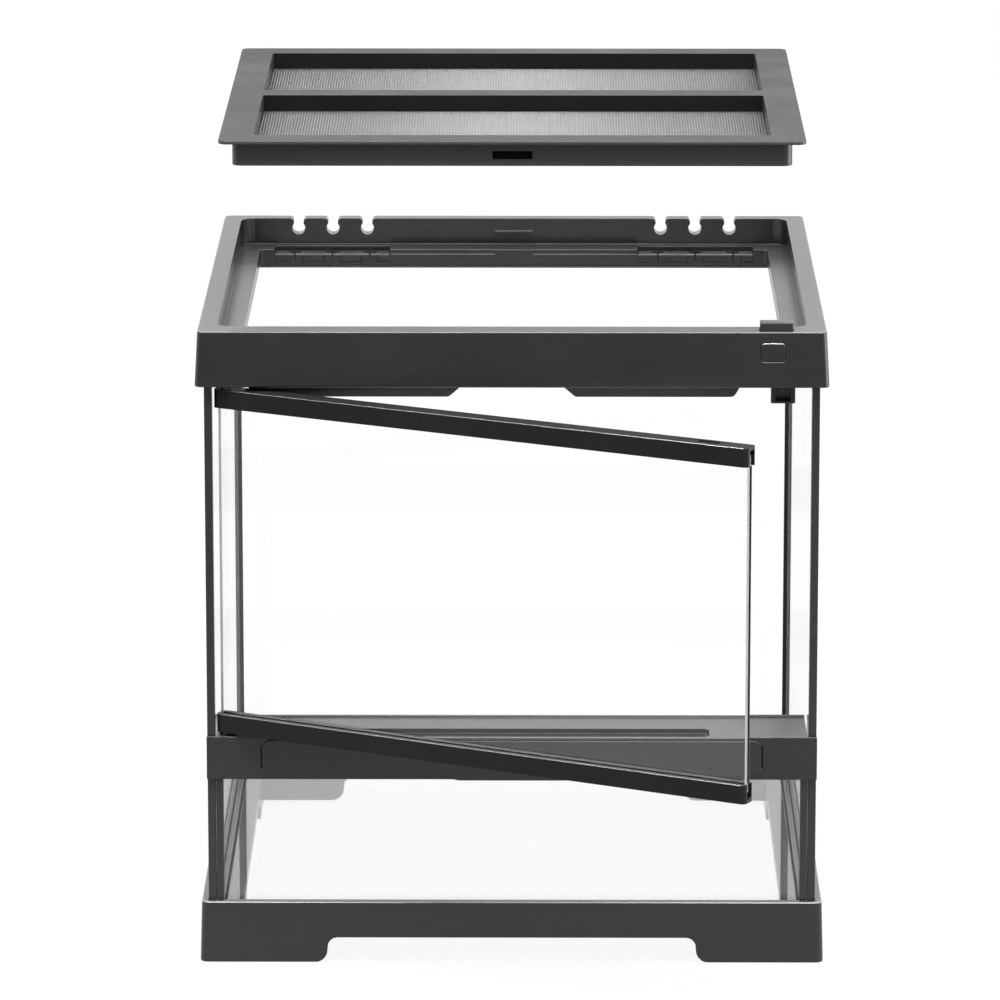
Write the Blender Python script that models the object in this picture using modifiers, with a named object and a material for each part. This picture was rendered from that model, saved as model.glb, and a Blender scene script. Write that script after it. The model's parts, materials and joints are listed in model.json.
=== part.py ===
"""A front-opening glass terrarium with a lift-off mesh lid, at its real size in metres, +Z up.

The tank stands on the floor around an empty named tank. The door turns about the empty door_axis, and the
lid, the latch bolt and the release button each hang on an empty of their own. X runs to the right as seen
from the front, and Y runs to the back.
"""
import math

import bpy
import bmesh
from mathutils import Matrix, Vector

# Clearances
FIT = 0.0003                # between pieces that are pushed or glued together
RUNNING_FIT = 0.0005        # between pieces that slide or turn
OVER = 0.004                # how far a cutter runs past what it cuts

# Glass box and overall height
BOX = 0.306                 # outer width and depth of the glass
GLASS = 0.004
CASE_HEIGHT = 0.325
GLASS_SEAT = 0.015          # height of the groove floor in the base
GLASS_TOP = 0.3058          # top edge of the side panes, inside the top frame

# Top frame
TOP_HEIGHT = 0.028
TOP_WIDTH = 0.315           # at the lower edge
TOP_DRAFT = 0.0015          # each side leans in by this much
TOP_CORNER = 0.0035
TOP_EDGE = 0.0007           # small rounding of the outer edges
RIM_SIDE = 0.0093
RIM_BACK = 0.0085
RIM_FRONT = 0.0136
POCKET_DEPTH = 0.014        # from the rim down to the ledge that the lid sits on
POCKET_CORNER = 0.007
LEDGE_SIDE = 0.0105
LEDGE_BACK = 0.0165
LEDGE_FRONT = 0.0104
LEDGE_THICK = 0.0025
LIP_THICK = 0.002
LIP_DEPTH = 0.0084          # from the ledge top down to the lip's lower edge
LIP_STEP = 0.0008           # the back lip's upper part stands back by this much between the gates
GROOVE_WALL = 0.0025        # inner wall of the glass groove
GROOVE_WALL_DROP = 0.002    # how far that wall stops above the frame's lower edge
BEAM_WALL = 0.0025
BEAM_RIB = 0.0018
BEAM_CELLS = 5
CATCH_WIDTH = 0.0204        # tongue that holds the lid, front and back
CATCH_THICK = 0.0016
CATCH_REACH = 0.0018
CATCH_BELOW_RIM = 0.0066

# Cable notches in the back wall and the cable gates under them
NOTCH_MIDDLE = 0.0975       # from the centre of the tank to the middle notch of three
NOTCH_PITCH = 0.0185
NOTCHES = 3
NOTCH_RADIUS = 0.0035
NOTCH_NECK = 0.0052
NOTCH_MOUTH = 0.0092
NOTCH_DEPTH = 0.0088
GATE_WIDTH = 0.0615
GATE_HOLE = 0.008
GATE_PITCH = 0.0202
GATE_SLIT = 0.0009
GATE_PLATE = 0.0022
GATE_FLAP = 0.011
GATE_FLAP_LINE = 0.0006     # what is left of the plate behind each hole
GATE_EDGE = 0.0008
GATE_DROP = 0.0025          # how far the gate's top lies below the ledge
GATE_GROOVE = 0.0006        # width and depth of the lines moulded into the apron
GATE_GROOVE_HEIGHT = 0.0034
GATE_GROOVE_BELOW = 0.0012  # from the gate's top to the lines' upper ends
GATE_GROOVE_CLEAR = 0.0041  # from a slit to the lines beside it

# Door stops under the front beam
STOP_FROM = 0.0225
STOP_TO = 0.115
STOP_TO_HINGE = 0.133       # the left stop runs on almost to the hinge
STOP_DROP = 0.0077
STOP_THICK = 0.0025
STOP_SLANT = 0.009
STOP_CORNER = 0.003

# Base frame
BASE_HEIGHT = 0.0315
BASE_WIDTH = 0.3148         # at the floor
BASE_DRAFT = 0.0009
BASE_CORNER = 0.0038
BASE_INSIDE = 0.274
BASE_SKIRT = 0.003
BASE_INNER_WALL = 0.0025
FLOOR_SHELF = 0.018         # the shelf that carries the floor glass
FLOOR_SHELF_THICK = 0.003
FLOOR_GLASS = 0.290
FOOT_INNER_END = 0.093      # from the centre of the tank
ARCH_HEIGHT = 0.013
FOOT_RADIUS = 0.0066
ARCH_RADIUS = 0.005

# Posts
FRONT_POST_DEPTH = 0.007
FRONT_POST_EDGE = 0.0004
POST_CORNER = 0.0014
POST_BEAD = 0.002           # how far a back post shows inside the panes
POST_NECK = 0.001           # its neck between the ends of the panes
CHANNEL_WIDTH = 0.0035
CHANNEL_DEPTH = 0.0072
CHANNEL_WALL = 0.001

# Middle rail under the door
RAIL_BOTTOM = 0.0953
RAIL_TOP = 0.1172
RAIL_WIDTH = 0.3065
RAIL_FACE = 0.155           # its front face, in front of the centre
RAIL_FACE_THICK = 0.0017
RAIL_DEPTH = 0.042
RAIL_SKIN = 0.0022
RAIL_SHELF_DROP = 0.009     # how deep the shelf behind the front box hangs
RAIL_BOX_DEPTH = 0.020
RAIL_LIP = 0.0016
TROUGH_LENGTH = 0.200
TROUGH_FRONT = 0.0025       # behind the front face
TROUGH_WIDTH = 0.0155
TROUGH_DEPTH = 0.0023
VENT_SLOTS = 33
VENT_SLOT_WIDTH = 0.0022
VENT_MARGIN = 0.005
VENT_CORNER = 0.001
TROUGH_CORNER = 0.003
GRILLE_THICK = 0.0012
GRILLE_SEAT = 0.00125       # from the trough's side to the grille's side
GRILLE_CORNER = 0.0015
LOW_GLASS_SETBACK = 0.0015  # behind the front of the glass box

# Front fascia on the middle rail
FASCIA_WIDTH = 0.250
FASCIA_BOTTOM = 0.098
FASCIA_TOP = 0.1157
FASCIA_CORNER = 0.004
FASCIA_PROUD = 0.0008
FASCIA_BULGE_TOP = 0.034
FASCIA_BULGE_BOTTOM = 0.0274
FASCIA_BULGE_CORNER = 0.002
FASCIA_SLOT_HEIGHT = 0.012
FASCIA_SLOT = 0.001

# Door
HINGE_IN = 0.0065           # hinge axis, inside the inner face of the side pane
HINGE_BACK = 0.005          # hinge axis, behind the front of the glass box
DOOR_OPEN = 27.3            # degrees open at rest
DOOR_LENGTH = 0.290         # from the hinge axis to the free end
DOOR_HEEL = 0.0046          # from the hinge axis to the hinged end
DOOR_RAIL_DEPTH = 0.010
DOOR_RAIL_HEIGHT = 0.0094
DOOR_RAIL_CORNER = 0.0025
DOOR_WEB = 0.0016
DOOR_GROOVE_FREE = 0.003    # empty groove between the glass edge and the web
DOOR_END_WALL = 0.0013
DOOR_GAP_TOP = 0.0022
DOOR_GAP_BOTTOM = 0.0015
KEEP_FROM_TIP = 0.0235      # middle of the notch that the latch drops into
KEEP_LENGTH = 0.0115
KEEP_WIDTH = 0.0042
KEEP_BACK = 0.001           # its middle, behind the middle of the rail
PIN_DIAMETER = 0.0044
PIN_REACH = 0.0085
PIN_CHAMFER = 0.0005
BUSH_DIAMETER = 0.0074
BUSH_FLANGE_DIAMETER = 0.0092
BUSH_FLANGE = 0.0009
BUSH_DEPTH = 0.010
TURNED_SIDES = 24           # facets round the pins, the bushes and their holes

# Latch
BOLT_X = 0.13105            # middle of the latch tab, right of the centre
TAB_WIDTH = 0.0165
TAB_DEPTH = 0.0076
TAB_FRONT = 0.1530
TAB_PROUD = 0.0042
TAB_SUNK = 0.0012
TAB_EDGE = 0.0006
BLADE_WIDTH = 0.014
BLADE_THICK = 0.0025
BLADE_FRONT = 0.1485
BLADE_BOTTOM = 0.3029
NOSE_WIDTH = 0.006
NOSE_CLEAR = 0.0005         # above the closed door's rail
STEM_X = 0.13465
STEM_WIDTH = 0.0025
STEM_BOTTOM = 0.291
STEM_FRONT = 0.141
STEM_BACK = 0.137
BRACKET_X = 0.13495
BRACKET_WIDTH = 0.0121
BRACKET_DEPTH = 0.0077
BRACKET_BOTTOM = 0.286
BRACKET_WALL = 0.0022
BRACKET_FLOOR = 0.0012
BRACKET_CORNER = 0.0012
BUTTON_X = 0.1293
BUTTON_WIDTH = 0.012
BUTTON_BOTTOM = 0.3102
BUTTON_TOP = 0.3194
BUTTON_CORNER = 0.0015
BUTTON_FLANGE = 0.0008
BUTTON_REST_GAP = 0.0003
HOUSING_WIDTH = 0.022
HOUSING_X = 0.1311

# Lid
LID_WIDTH = 0.291
LID_DEPTH = 0.2856
LID_FLANGE = 0.002
LID_CORNER = 0.004
LID_EDGE = 0.0005
LID_SKIRT_IN = 0.0066
LID_SKIRT_CORNER = 0.005
LID_SKIRT_THICK = 0.002
LID_HEIGHT = 0.0137
LID_BORDER = 0.017
LID_BAR = 0.016
LID_BAR_WALL = 0.0018
LID_MESH_BELOW = 0.008
LID_SEAT_GAP = 0.0003
LID_LIFT = 0.093            # how far the lid is lifted off at rest
LID_SLOT_WIDTH = 0.020
LID_SLOT_HEIGHT = 0.004
LID_SLOT_BELOW = 0.0062
NET_COLUMNS = 16
NET_ROWS = 7
NET_WIRE = 0.0011
NET_THICK = 0.0008
NET_HEM = 0.003
RETAINER_WIDTH = 0.0024
RETAINER_THICK = 0.0014

# Worked out from the sizes above
BOX_HALF = BOX / 2
PANE_IN = BOX_HALF - GLASS
TOP_BOTTOM = CASE_HEIGHT - TOP_HEIGHT
TOP_HALF = TOP_WIDTH / 2
RIM_HALF = TOP_HALF - TOP_DRAFT
LEDGE_TOP = CASE_HEIGHT - POCKET_DEPTH
LEDGE_UNDER = LEDGE_TOP - LEDGE_THICK
LIP_BOTTOM = LEDGE_TOP - LIP_DEPTH
POCKET_X = RIM_HALF - RIM_SIDE
POCKET_BACK = RIM_HALF - RIM_BACK
POCKET_FRONT = -RIM_HALF + RIM_FRONT
WINDOW_X = POCKET_X - LEDGE_SIDE
WINDOW_BACK = POCKET_BACK - LEDGE_BACK
WINDOW_FRONT = POCKET_FRONT + LEDGE_FRONT
BASE_HALF = BASE_WIDTH / 2
HINGE_X = -(PANE_IN - HINGE_IN)
HINGE_Y = -(BOX_HALF - HINGE_BACK)
DOOR_TOP = TOP_BOTTOM - DOOR_GAP_TOP
DOOR_BOTTOM = RAIL_TOP + DOOR_GAP_BOTTOM
LID_MIDDLE_Y = (POCKET_BACK + POCKET_FRONT) / 2
LID_TOP = LEDGE_TOP + LID_SEAT_GAP + LID_HEIGHT
LID_BOTTOM = LID_TOP - LID_HEIGHT
MESH_TOP = LID_TOP - LID_MESH_BELOW
GATE_X = NOTCH_MIDDLE
GATE_TOP = LEDGE_TOP - GATE_DROP
PANE_END = PANE_IN - POST_NECK - FIT


def turned_corner_reach():
    """How far in front of the tank's centre the open door reaches."""
    angle = math.radians(DOOR_OPEN)
    out = DOOR_LENGTH - DOOR_RAIL_CORNER
    side = DOOR_RAIL_DEPTH / 2 - DOOR_RAIL_CORNER
    return -HINGE_Y + out * math.sin(angle) + side * math.cos(angle) + DOOR_RAIL_CORNER


# The middle of the whole object's box lies at Y = 0, with the door as it stands at rest
TANK_Y = (turned_corner_reach() - BASE_HALF) / 2

for old in list(bpy.data.objects):
    bpy.data.objects.remove(old, do_unlink=True)


def new_collection(name):
    made = bpy.data.collections.new(name)
    bpy.context.scene.collection.children.link(made)
    return made


PIECES = new_collection("glass_terrarium")
CUTTERS = new_collection("cutters")
CUTTERS.hide_render = True


# Materials, each with a linear grey and a roughness

FRAME_PLASTIC = (0.045, 0.38)
DARK_PLASTIC = (0.022, 0.42)
SOFT_PLASTIC = (0.035, 0.6)
STEEL = (0.55, 0.35)
CLEAR_GLASS = (0.95, 0.02)
GLASS_IOR = 1.5

# Faces that meet at less than this angle in degrees become one, points this near are welded at a turned
# piece's axis, and the empties are drawn this big
FLAT = 0.5
WELD = 0.00001
AXIS_SIZE = 0.02


def plastic(name, grey, roughness):
    made = bpy.data.materials.new(name)
    made.use_nodes = True
    shader = made.node_tree.nodes["Principled BSDF"]
    shader.inputs["Base Color"].default_value = (grey, grey, grey, 1)
    shader.inputs["Roughness"].default_value = roughness
    made.diffuse_color = (grey, grey, grey, 1)
    return made


def clear_glass(name):
    made = plastic(name, *CLEAR_GLASS)
    shader = made.node_tree.nodes["Principled BSDF"]
    shader.inputs["Transmission Weight"].default_value = 1
    shader.inputs["IOR"].default_value = GLASS_IOR
    return made


def metal(name, grey, roughness):
    made = plastic(name, grey, roughness)
    made.node_tree.nodes["Principled BSDF"].inputs["Metallic"].default_value = 1
    return made


# Outlines

def rounded(corners, radii, steps=5):
    """A closed outline with an arc at each corner; a radius of 0 leaves that corner sharp."""
    if not hasattr(radii, "__len__"):
        radii = [radii] * len(corners)
    points = []
    for index, corner in enumerate(corners):
        here = Vector(corner)
        before = (Vector(corners[index - 1]) - here).normalized()
        after = (Vector(corners[(index + 1) % len(corners)]) - here).normalized()
        radius = radii[index]
        if radius <= 0:
            points.append(tuple(here))
            continue
        half = math.acos(max(-1, min(1, before.dot(after)))) / 2
        centre = here + (before + after).normalized() * radius / math.sin(half)
        start = here + before * radius / math.tan(half) - centre
        end = here + after * radius / math.tan(half) - centre
        first = math.atan2(start.y, start.x)
        turn = math.atan2(start.x * end.y - start.y * end.x, start.dot(end))
        for step in range(steps + 1):
            angle = first + turn * step / steps
            points.append((centre.x + radius * math.cos(angle), centre.y + radius * math.sin(angle)))
    return points


def rectangle(left, right, low, high, radius=0, steps=5):
    return rounded([(left, low), (right, low), (right, high), (left, high)], radius, steps)


def mirrored(points):
    return [(-x, y) for x, y in reversed(points)]


def circle(x, y, radius, steps=20):
    return [
        (x + radius * math.cos(2 * math.pi * k / steps), y + radius * math.sin(2 * math.pi * k / steps))
        for k in range(steps)
    ]


# Solids

FACING = {
    "XY": Matrix.Identity(4),
    "XZ": Matrix(((1, 0, 0, 0), (0, 0, -1, 0), (0, 1, 0, 0), (0, 0, 0, 1))),
    "YZ": Matrix(((0, 0, 1, 0), (1, 0, 0, 0), (0, 1, 0, 0), (0, 0, 0, 1))),
}


def put(name, mesh, owner):
    made = bpy.data.objects.new(name, mesh)
    owner.objects.link(made)
    return made


def plate(name, outlines, low, high, plane="XY"):
    """Outlines drawn in a plane and extruded square to it from low to high; an inner outline is a hole."""
    curve = bpy.data.curves.new(name, "CURVE")
    curve.dimensions = "2D"
    curve.fill_mode = "BOTH"
    curve.extrude = (high - low) / 2
    for points in outlines:
        spline = curve.splines.new("POLY")
        spline.points.add(len(points) - 1)
        for point, (x, y) in zip(spline.points, points):
            point.co = (x, y, 0, 1)
        spline.use_cyclic_u = True
    draft = put(name, curve, CUTTERS)
    middle = (low + high) / 2
    draft.matrix_world = FACING[plane] @ Matrix.Translation((0, 0, -middle if plane == "XZ" else middle))
    bpy.context.view_layer.update()
    mesh = bpy.data.meshes.new_from_object(draft.evaluated_get(bpy.context.evaluated_depsgraph_get()))
    mesh.transform(draft.matrix_world)
    bpy.data.objects.remove(draft, do_unlink=True)
    bpy.data.curves.remove(curve)
    tidy = bmesh.new()
    tidy.from_mesh(mesh)
    bmesh.ops.remove_doubles(tidy, verts=tidy.verts, dist=1e-6)
    bmesh.ops.dissolve_limit(tidy, angle_limit=math.radians(FLAT), verts=tidy.verts, edges=tidy.edges)
    bmesh.ops.recalc_face_normals(tidy, faces=tidy.faces)
    tidy.to_mesh(mesh)
    tidy.free()
    return put(name, mesh, PIECES)


def block(name, x, y, z):
    """A box, each of x, y and z being its two ends along that axis."""
    mesh = bpy.data.meshes.new(name)
    shape = bmesh.new()
    bmesh.ops.create_cube(shape, size=1)
    low, high = (Vector(ends) for ends in zip(x, y, z))
    bmesh.ops.scale(shape, vec=high - low, verts=shape.verts)
    bmesh.ops.translate(shape, vec=(low + high) / 2, verts=shape.verts)
    shape.to_mesh(mesh)
    shape.free()
    return put(name, mesh, PIECES)


def turned(name, profile):
    """A profile of (radius, height) pairs, bottom to top, turned about the hinge axis."""
    mesh = bpy.data.meshes.new(name)
    line = bmesh.new()
    points = [line.verts.new((radius, 0, height)) for radius, height in reversed(profile)]
    for upper, lower in zip(points, points[1:]):
        line.edges.new((upper, lower))
    line.to_mesh(mesh)
    line.free()
    made = put(name, mesh, PIECES)
    screw = made.modifiers.new("turn", "SCREW")
    screw.steps = TURNED_SIDES
    screw.render_steps = TURNED_SIDES
    screw.use_merge_vertices = True
    screw.merge_threshold = WELD
    made.location = (HINGE_X, HINGE_Y, 0)
    return made


def group_as_cutters(name, tools):
    held = bpy.data.collections.new(name)
    CUTTERS.children.link(held)
    for tool in tools:
        for owner in list(tool.users_collection):
            owner.objects.unlink(tool)
        held.objects.link(tool)
        tool.hide_render = True
        tool.display_type = "WIRE"
    return held


def combine(target, tools, operation):
    """Joins the tools to the target, cuts them from it, or keeps what they share with it."""
    modifier = target.modifiers.new(operation.lower(), "BOOLEAN")
    modifier.operation = operation
    if len(tools) == 1:
        group_as_cutters(target.name + "_" + operation.lower(), tools)
        modifier.object = tools[0]
    else:
        modifier.operand_type = "COLLECTION"
        modifier.collection = group_as_cutters(target.name + "_" + operation.lower(), tools)
    return target


def join(target, *tools):
    return combine(target, tools, "UNION")


def cut(target, *tools):
    return combine(target, tools, "DIFFERENCE")


def soften(target, width, segments=2, angle=50):
    bevel = target.modifiers.new("soft edges", "BEVEL")
    bevel.width = width
    bevel.segments = segments
    bevel.limit_method = "ANGLE"
    bevel.angle_limit = math.radians(angle)
    return target


def lean(target, top, factor):
    """Scales what lies at the given height, so that the sides lean in."""
    for vertex in target.data.vertices:
        if vertex.co.z > top - 1e-6:
            vertex.co.x *= factor
            vertex.co.y *= factor
    return target


def finish(target, material, holder):
    """Gives a piece its material, hangs it on its empty without moving it, and shades it smooth."""
    target.data.materials.clear()
    target.data.materials.append(material)
    bpy.context.view_layer.update()
    place = target.matrix_world.copy()
    target.parent = holder
    target.matrix_parent_inverse = holder.matrix_world.inverted()
    target.matrix_world = place
    target.data.shade_smooth()
    target.data.set_sharp_from_angle(angle=math.radians(30))
    return target


def empty(name, location, parent=None):
    made = bpy.data.objects.new(name, None)
    PIECES.objects.link(made)
    made.empty_display_size = AXIS_SIZE
    made.location = location
    made.parent = parent
    return made


# Pieces of the tank

def base_frame():
    """Moulded base with four feet, an arch on each side, a groove for the panes and a shelf for the floor."""
    outline = rectangle(-BASE_HALF, BASE_HALF, -BASE_HALF, BASE_HALF, BASE_CORNER)
    body = plate("base_frame", [outline], 0, BASE_HEIGHT)
    lean(body, BASE_HEIGHT, (BASE_HALF - BASE_DRAFT) / BASE_HALF)
    soften(body, TOP_EDGE)
    inside = BASE_INSIDE / 2
    shelf_end = PANE_IN - FIT - BASE_INNER_WALL
    above = BASE_HEIGHT + OVER
    low_pane = -BOX_HALF + LOW_GLASS_SETBACK
    opening = rectangle(-inside, inside, -inside, inside, BASE_INNER_WALL)
    shelf = rectangle(-shelf_end, shelf_end, -shelf_end, shelf_end)
    panes = rectangle(-PANE_IN, PANE_IN, -PANE_IN, PANE_IN)
    cuts = [
        plate("base_opening", [opening], -OVER, above),
        plate("floor_pocket", [shelf], FLOOR_SHELF, above),
        plate("above_inner_wall", [panes], FLOOR_SHELF + 2 * GLASS - FIT, above),
        pane_groove("base_groove", GLASS_SEAT, above),
        block("low_pane_groove", (-PANE_IN, PANE_IN), (low_pane - FIT, low_pane + GLASS + FIT),
              (GLASS_SEAT, above)),
    ]
    for plane in ("XZ", "YZ"):
        cuts.append(plate("arch_" + plane, [foot_arch()], -TOP_WIDTH, TOP_WIDTH, plane))
    outside = BASE_HALF - BASE_SKIRT
    near = inside + BASE_INNER_WALL
    end = FOOT_INNER_END + FOOT_RADIUS + BASE_SKIRT
    roof = GLASS_SEAT - FLOOR_SHELF_THICK
    for sx in (-1, 1):
        for sy in (-1, 1):
            corner = [(sx * near, sy * end), (sx * outside, sy * end), (sx * outside, sy * outside),
                      (sx * end, sy * outside), (sx * end, sy * near), (sx * near, sy * near)]
            cuts.append(plate("foot_core", [corner], -OVER, roof))
    return cut(body, *cuts)


def foot_arch():
    """The arch between two feet, which flares at the floor where each foot's lower corner is rounded."""
    foot = FOOT_INNER_END + FOOT_RADIUS
    right = [(foot, -OVER)]
    for step in range(6):
        angle = math.radians(90 * step / 5)
        right.append((foot - FOOT_RADIUS * math.sin(angle), FOOT_RADIUS * (1 - math.cos(angle))))
    for step in range(6):
        angle = math.radians(90 * step / 5)
        right.append((FOOT_INNER_END - ARCH_RADIUS * (1 - math.cos(angle)),
                      ARCH_HEIGHT - ARCH_RADIUS * (1 - math.sin(angle))))
    return right + mirrored(right)


def pane_groove(name, low, high):
    """The groove that takes the left, back and right panes, open at the front where the posts end."""
    outer, inner, front = BOX_HALF + FIT, PANE_IN - FIT, BOX_HALF + FIT
    outline = [(-outer, -front), (-inner, -front), (-inner, inner), (inner, inner), (inner, -front),
               (outer, -front), (outer, outer), (-outer, outer)]
    return plate(name, [outline], low, high)


def upright_panes():
    """Left, right and back panes, which run from the groove in the base up into the top frame."""
    low = GLASS_SEAT + FIT
    front = -BOX_HALF + FRONT_POST_DEPTH + FIT
    left = block("left_glass", (-BOX_HALF, -PANE_IN), (front, PANE_END), (low, GLASS_TOP))
    right = block("right_glass", (PANE_IN, BOX_HALF), (front, PANE_END), (low, GLASS_TOP))
    behind = block("back_glass", (-PANE_END, PANE_END), (PANE_IN, BOX_HALF), (low, GLASS_TOP))
    return left, right, behind


def posts():
    """Strips that close the upright corners; the back ones are rounded outside and have a bead inside."""
    low = GLASS_SEAT + FIT
    inside = (BASE_HEIGHT + FIT, TOP_BOTTOM - FIT)
    neck = (PANE_IN - POST_NECK, PANE_IN + POST_NECK)
    bead = (PANE_IN - POST_BEAD, PANE_IN - FIT)
    made = []
    for side, sign in (("left", -1), ("right", 1)):
        x = sorted((sign * PANE_IN, sign * BOX_HALF))
        front = rectangle(x[0], x[1], -BOX_HALF, -BOX_HALF + FRONT_POST_DEPTH, FRONT_POST_EDGE, 2)
        made.append(plate("post_front_" + side, [front], low, GLASS_TOP))
        corner = [(PANE_IN, PANE_IN), (BOX_HALF, PANE_IN), (BOX_HALF, BOX_HALF), (PANE_IN, BOX_HALF)]
        outlines = [rounded(corner, [0, 0, POST_CORNER, 0], 4), rectangle(*neck, *neck),
                    rectangle(*bead, *bead, FIT, 2)]
        if sign < 0:
            outlines = [mirrored(outline) for outline in outlines]
        outer, middle, inner = outlines
        body = plate("post_back_" + side, [outer], low, GLASS_TOP)
        made.append(join(body, plate("neck", [middle], *inside), plate("bead", [inner], *inside)))
    return made


def low_front():
    """The fixed pane under the middle rail and the two channels that hold its ends."""
    front = -BOX_HALF + LOW_GLASS_SETBACK
    back = front + GLASS
    channel_in = PANE_IN - FIT - CHANNEL_WIDTH
    top = RAIL_BOTTOM + DOOR_GROOVE_FREE
    end = PANE_IN - 2 * FIT - CHANNEL_WALL
    pane = block("front_low_glass", (-end, end), (front, back), (GLASS_SEAT + FIT, top))
    channels = []
    for side, sign in (("left", -1), ("right", 1)):
        x = sorted((sign * (PANE_IN - FIT), sign * channel_in))
        strip = block("low_channel_" + side, x, (-BOX_HALF, -BOX_HALF + CHANNEL_DEPTH),
                      (BASE_HEIGHT + FIT, RAIL_BOTTOM - FIT))
        slot = sorted((sign * (PANE_IN - FIT - CHANNEL_WALL), sign * (channel_in - OVER)))
        channels.append(cut(strip, block("pane_slot", slot, (front - FIT, back + FIT), (0, RAIL_TOP))))
    return pane, channels


def top_frame():
    """Top frame: rim, lid pocket, ledge, pane groove, hollow front beam, cable notches and door stops."""
    outline = rectangle(-TOP_HALF, TOP_HALF, -TOP_HALF, TOP_HALF, TOP_CORNER)
    body = plate("top_frame", [outline], TOP_BOTTOM, CASE_HEIGHT)
    lean(body, CASE_HEIGHT, RIM_HALF / TOP_HALF)
    soften(body, TOP_EDGE)
    wall_in = PANE_IN - FIT - GROOVE_WALL
    under = TOP_BOTTOM - OVER
    above_ledge = LEDGE_TOP + OVER
    beam_back = POCKET_FRONT
    hollow_in = WINDOW_X + LIP_THICK
    gate_back = WINDOW_BACK + GATE_FLAP
    pocket = rectangle(-POCKET_X, POCKET_X, POCKET_FRONT, POCKET_BACK, POCKET_CORNER)
    window = rectangle(-WINDOW_X, WINDOW_X, WINDOW_FRONT, WINDOW_BACK, LIP_THICK, 3)
    cuts = [
        plate("lid_pocket", [pocket], LEDGE_TOP, CASE_HEIGHT + OVER),
        plate("top_opening", [window], under, CASE_HEIGHT),
        pane_groove("top_groove", under, GLASS_TOP + FIT),
        block("under_groove_wall", (-PANE_IN, PANE_IN), (beam_back, PANE_IN),
              (under, TOP_BOTTOM + GROOVE_WALL_DROP)),
        block("above_the_lip", (-wall_in, wall_in), (beam_back, wall_in), (under, LIP_BOTTOM)),
        plate("hollow_ledge", [
            rectangle(-wall_in, wall_in, beam_back, wall_in),
            rectangle(-hollow_in, hollow_in, WINDOW_FRONT - LIP_THICK, WINDOW_BACK + LIP_THICK),
        ], under, LEDGE_UNDER),
    ]
    cuts += beam_cells(under)
    cuts += [notch_cutter(side * (NOTCH_MIDDLE + NOTCH_PITCH * step))
             for side in (-1, 1) for step in range(-(NOTCHES // 2), NOTCHES // 2 + 1)]
    for side in (-1, 1):
        x = (side * GATE_X - GATE_WIDTH / 2 - FIT, side * GATE_X + GATE_WIDTH / 2 + FIT)
        cuts.append(block("gate_window", x, (WINDOW_BACK - OVER, gate_back + FIT), (under, above_ledge)))
        step = sorted((side * CATCH_WIDTH / 2, side * GATE_X))
        cuts.append(block("back_step", step, (WINDOW_BACK - OVER, WINDOW_BACK + LIP_STEP),
                          (GATE_TOP, above_ledge)))
    cuts += latch_openings(under)
    cuts.append(round_hole("bush_hole", BUSH_DIAMETER, under, TOP_BOTTOM + BUSH_DEPTH))
    catch_z = (CASE_HEIGHT - CATCH_BELOW_RIM - CATCH_THICK, CASE_HEIGHT - CATCH_BELOW_RIM)
    tongue = (-CATCH_WIDTH / 2, CATCH_WIDTH / 2)
    added = [
        block("catch_back", tongue, (POCKET_BACK - CATCH_REACH, POCKET_BACK + OVER), catch_z),
        block("catch_front", tongue, (POCKET_FRONT - OVER, POCKET_FRONT + CATCH_REACH), catch_z),
    ]
    added += [door_stop(side) for side in (-1, 1)]
    cut(body, *cuts)
    return join(body, *added)


def round_hole(name, diameter, low, high):
    """Cutter on the hinge axis for a bush or a pin, wider than it by the fit."""
    radius = diameter / 2 + FIT
    return turned(name, [(0, low), (radius, low), (radius, high), (0, high)])


def beam_cells(under):
    """Cores of the front beam, between ribs, from the hinge boss to the latch housing."""
    first = HINGE_X + BUSH_FLANGE_DIAMETER
    last = HOUSING_X - HOUSING_WIDTH / 2 - BEAM_RIB
    pitch = (last - first + BEAM_RIB) / BEAM_CELLS
    y = (-RIM_HALF + BEAM_WALL, POCKET_FRONT - BEAM_WALL)
    z = (under, CASE_HEIGHT - BEAM_WALL)
    return [block("beam_cell", (first + pitch * k, first + pitch * (k + 1) - BEAM_RIB), y, z)
            for k in range(BEAM_CELLS)]


def notch_cutter(x):
    """Keyhole notch: a round seat for the cable, a narrower neck and a mouth with rounded shoulders."""
    seat = CASE_HEIGHT - NOTCH_DEPTH + NOTCH_RADIUS
    neck = NOTCH_NECK / 2
    start = math.asin(neck / NOTCH_RADIUS)
    right = []
    for step in range(9):
        angle = math.pi - (math.pi - start) * step / 8
        right.append((x + NOTCH_RADIUS * math.sin(angle), seat + NOTCH_RADIUS * math.cos(angle)))
    shoulder = NOTCH_MOUTH / 2 - neck
    for step in range(5):
        angle = math.pi / 2 * step / 4
        right.append((x + neck + shoulder * (1 - math.cos(angle)),
                      CASE_HEIGHT - shoulder * (1 - math.sin(angle))))
    right.append((x + NOTCH_MOUTH / 2, CASE_HEIGHT + OVER))
    left = [(2 * x - px, pz) for px, pz in reversed(right[1:])]
    return plate("cable_notch", [right + left], POCKET_BACK - OVER, TOP_HALF + OVER, "XZ")


def door_stop(side):
    """A hanging rib behind the closed door, with slanted ends."""
    low = TOP_BOTTOM - STOP_DROP
    high = LEDGE_UNDER + LEDGE_THICK / 2
    end = STOP_TO if side > 0 else STOP_TO_HINGE
    outline = [(STOP_FROM + STOP_SLANT, low), (end - STOP_SLANT / 2, low), (end, TOP_BOTTOM),
               (end, high), (STOP_FROM, high), (STOP_FROM, TOP_BOTTOM)]
    outline = rounded(outline, [STOP_CORNER, STOP_CORNER, 0, 0, 0, 0], 3)
    if side < 0:
        outline = mirrored(outline)
    front = HINGE_Y + DOOR_RAIL_DEPTH / 2 + RUNNING_FIT
    return plate("door_stop", [outline], front, front + STOP_THICK, "XZ")


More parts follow.
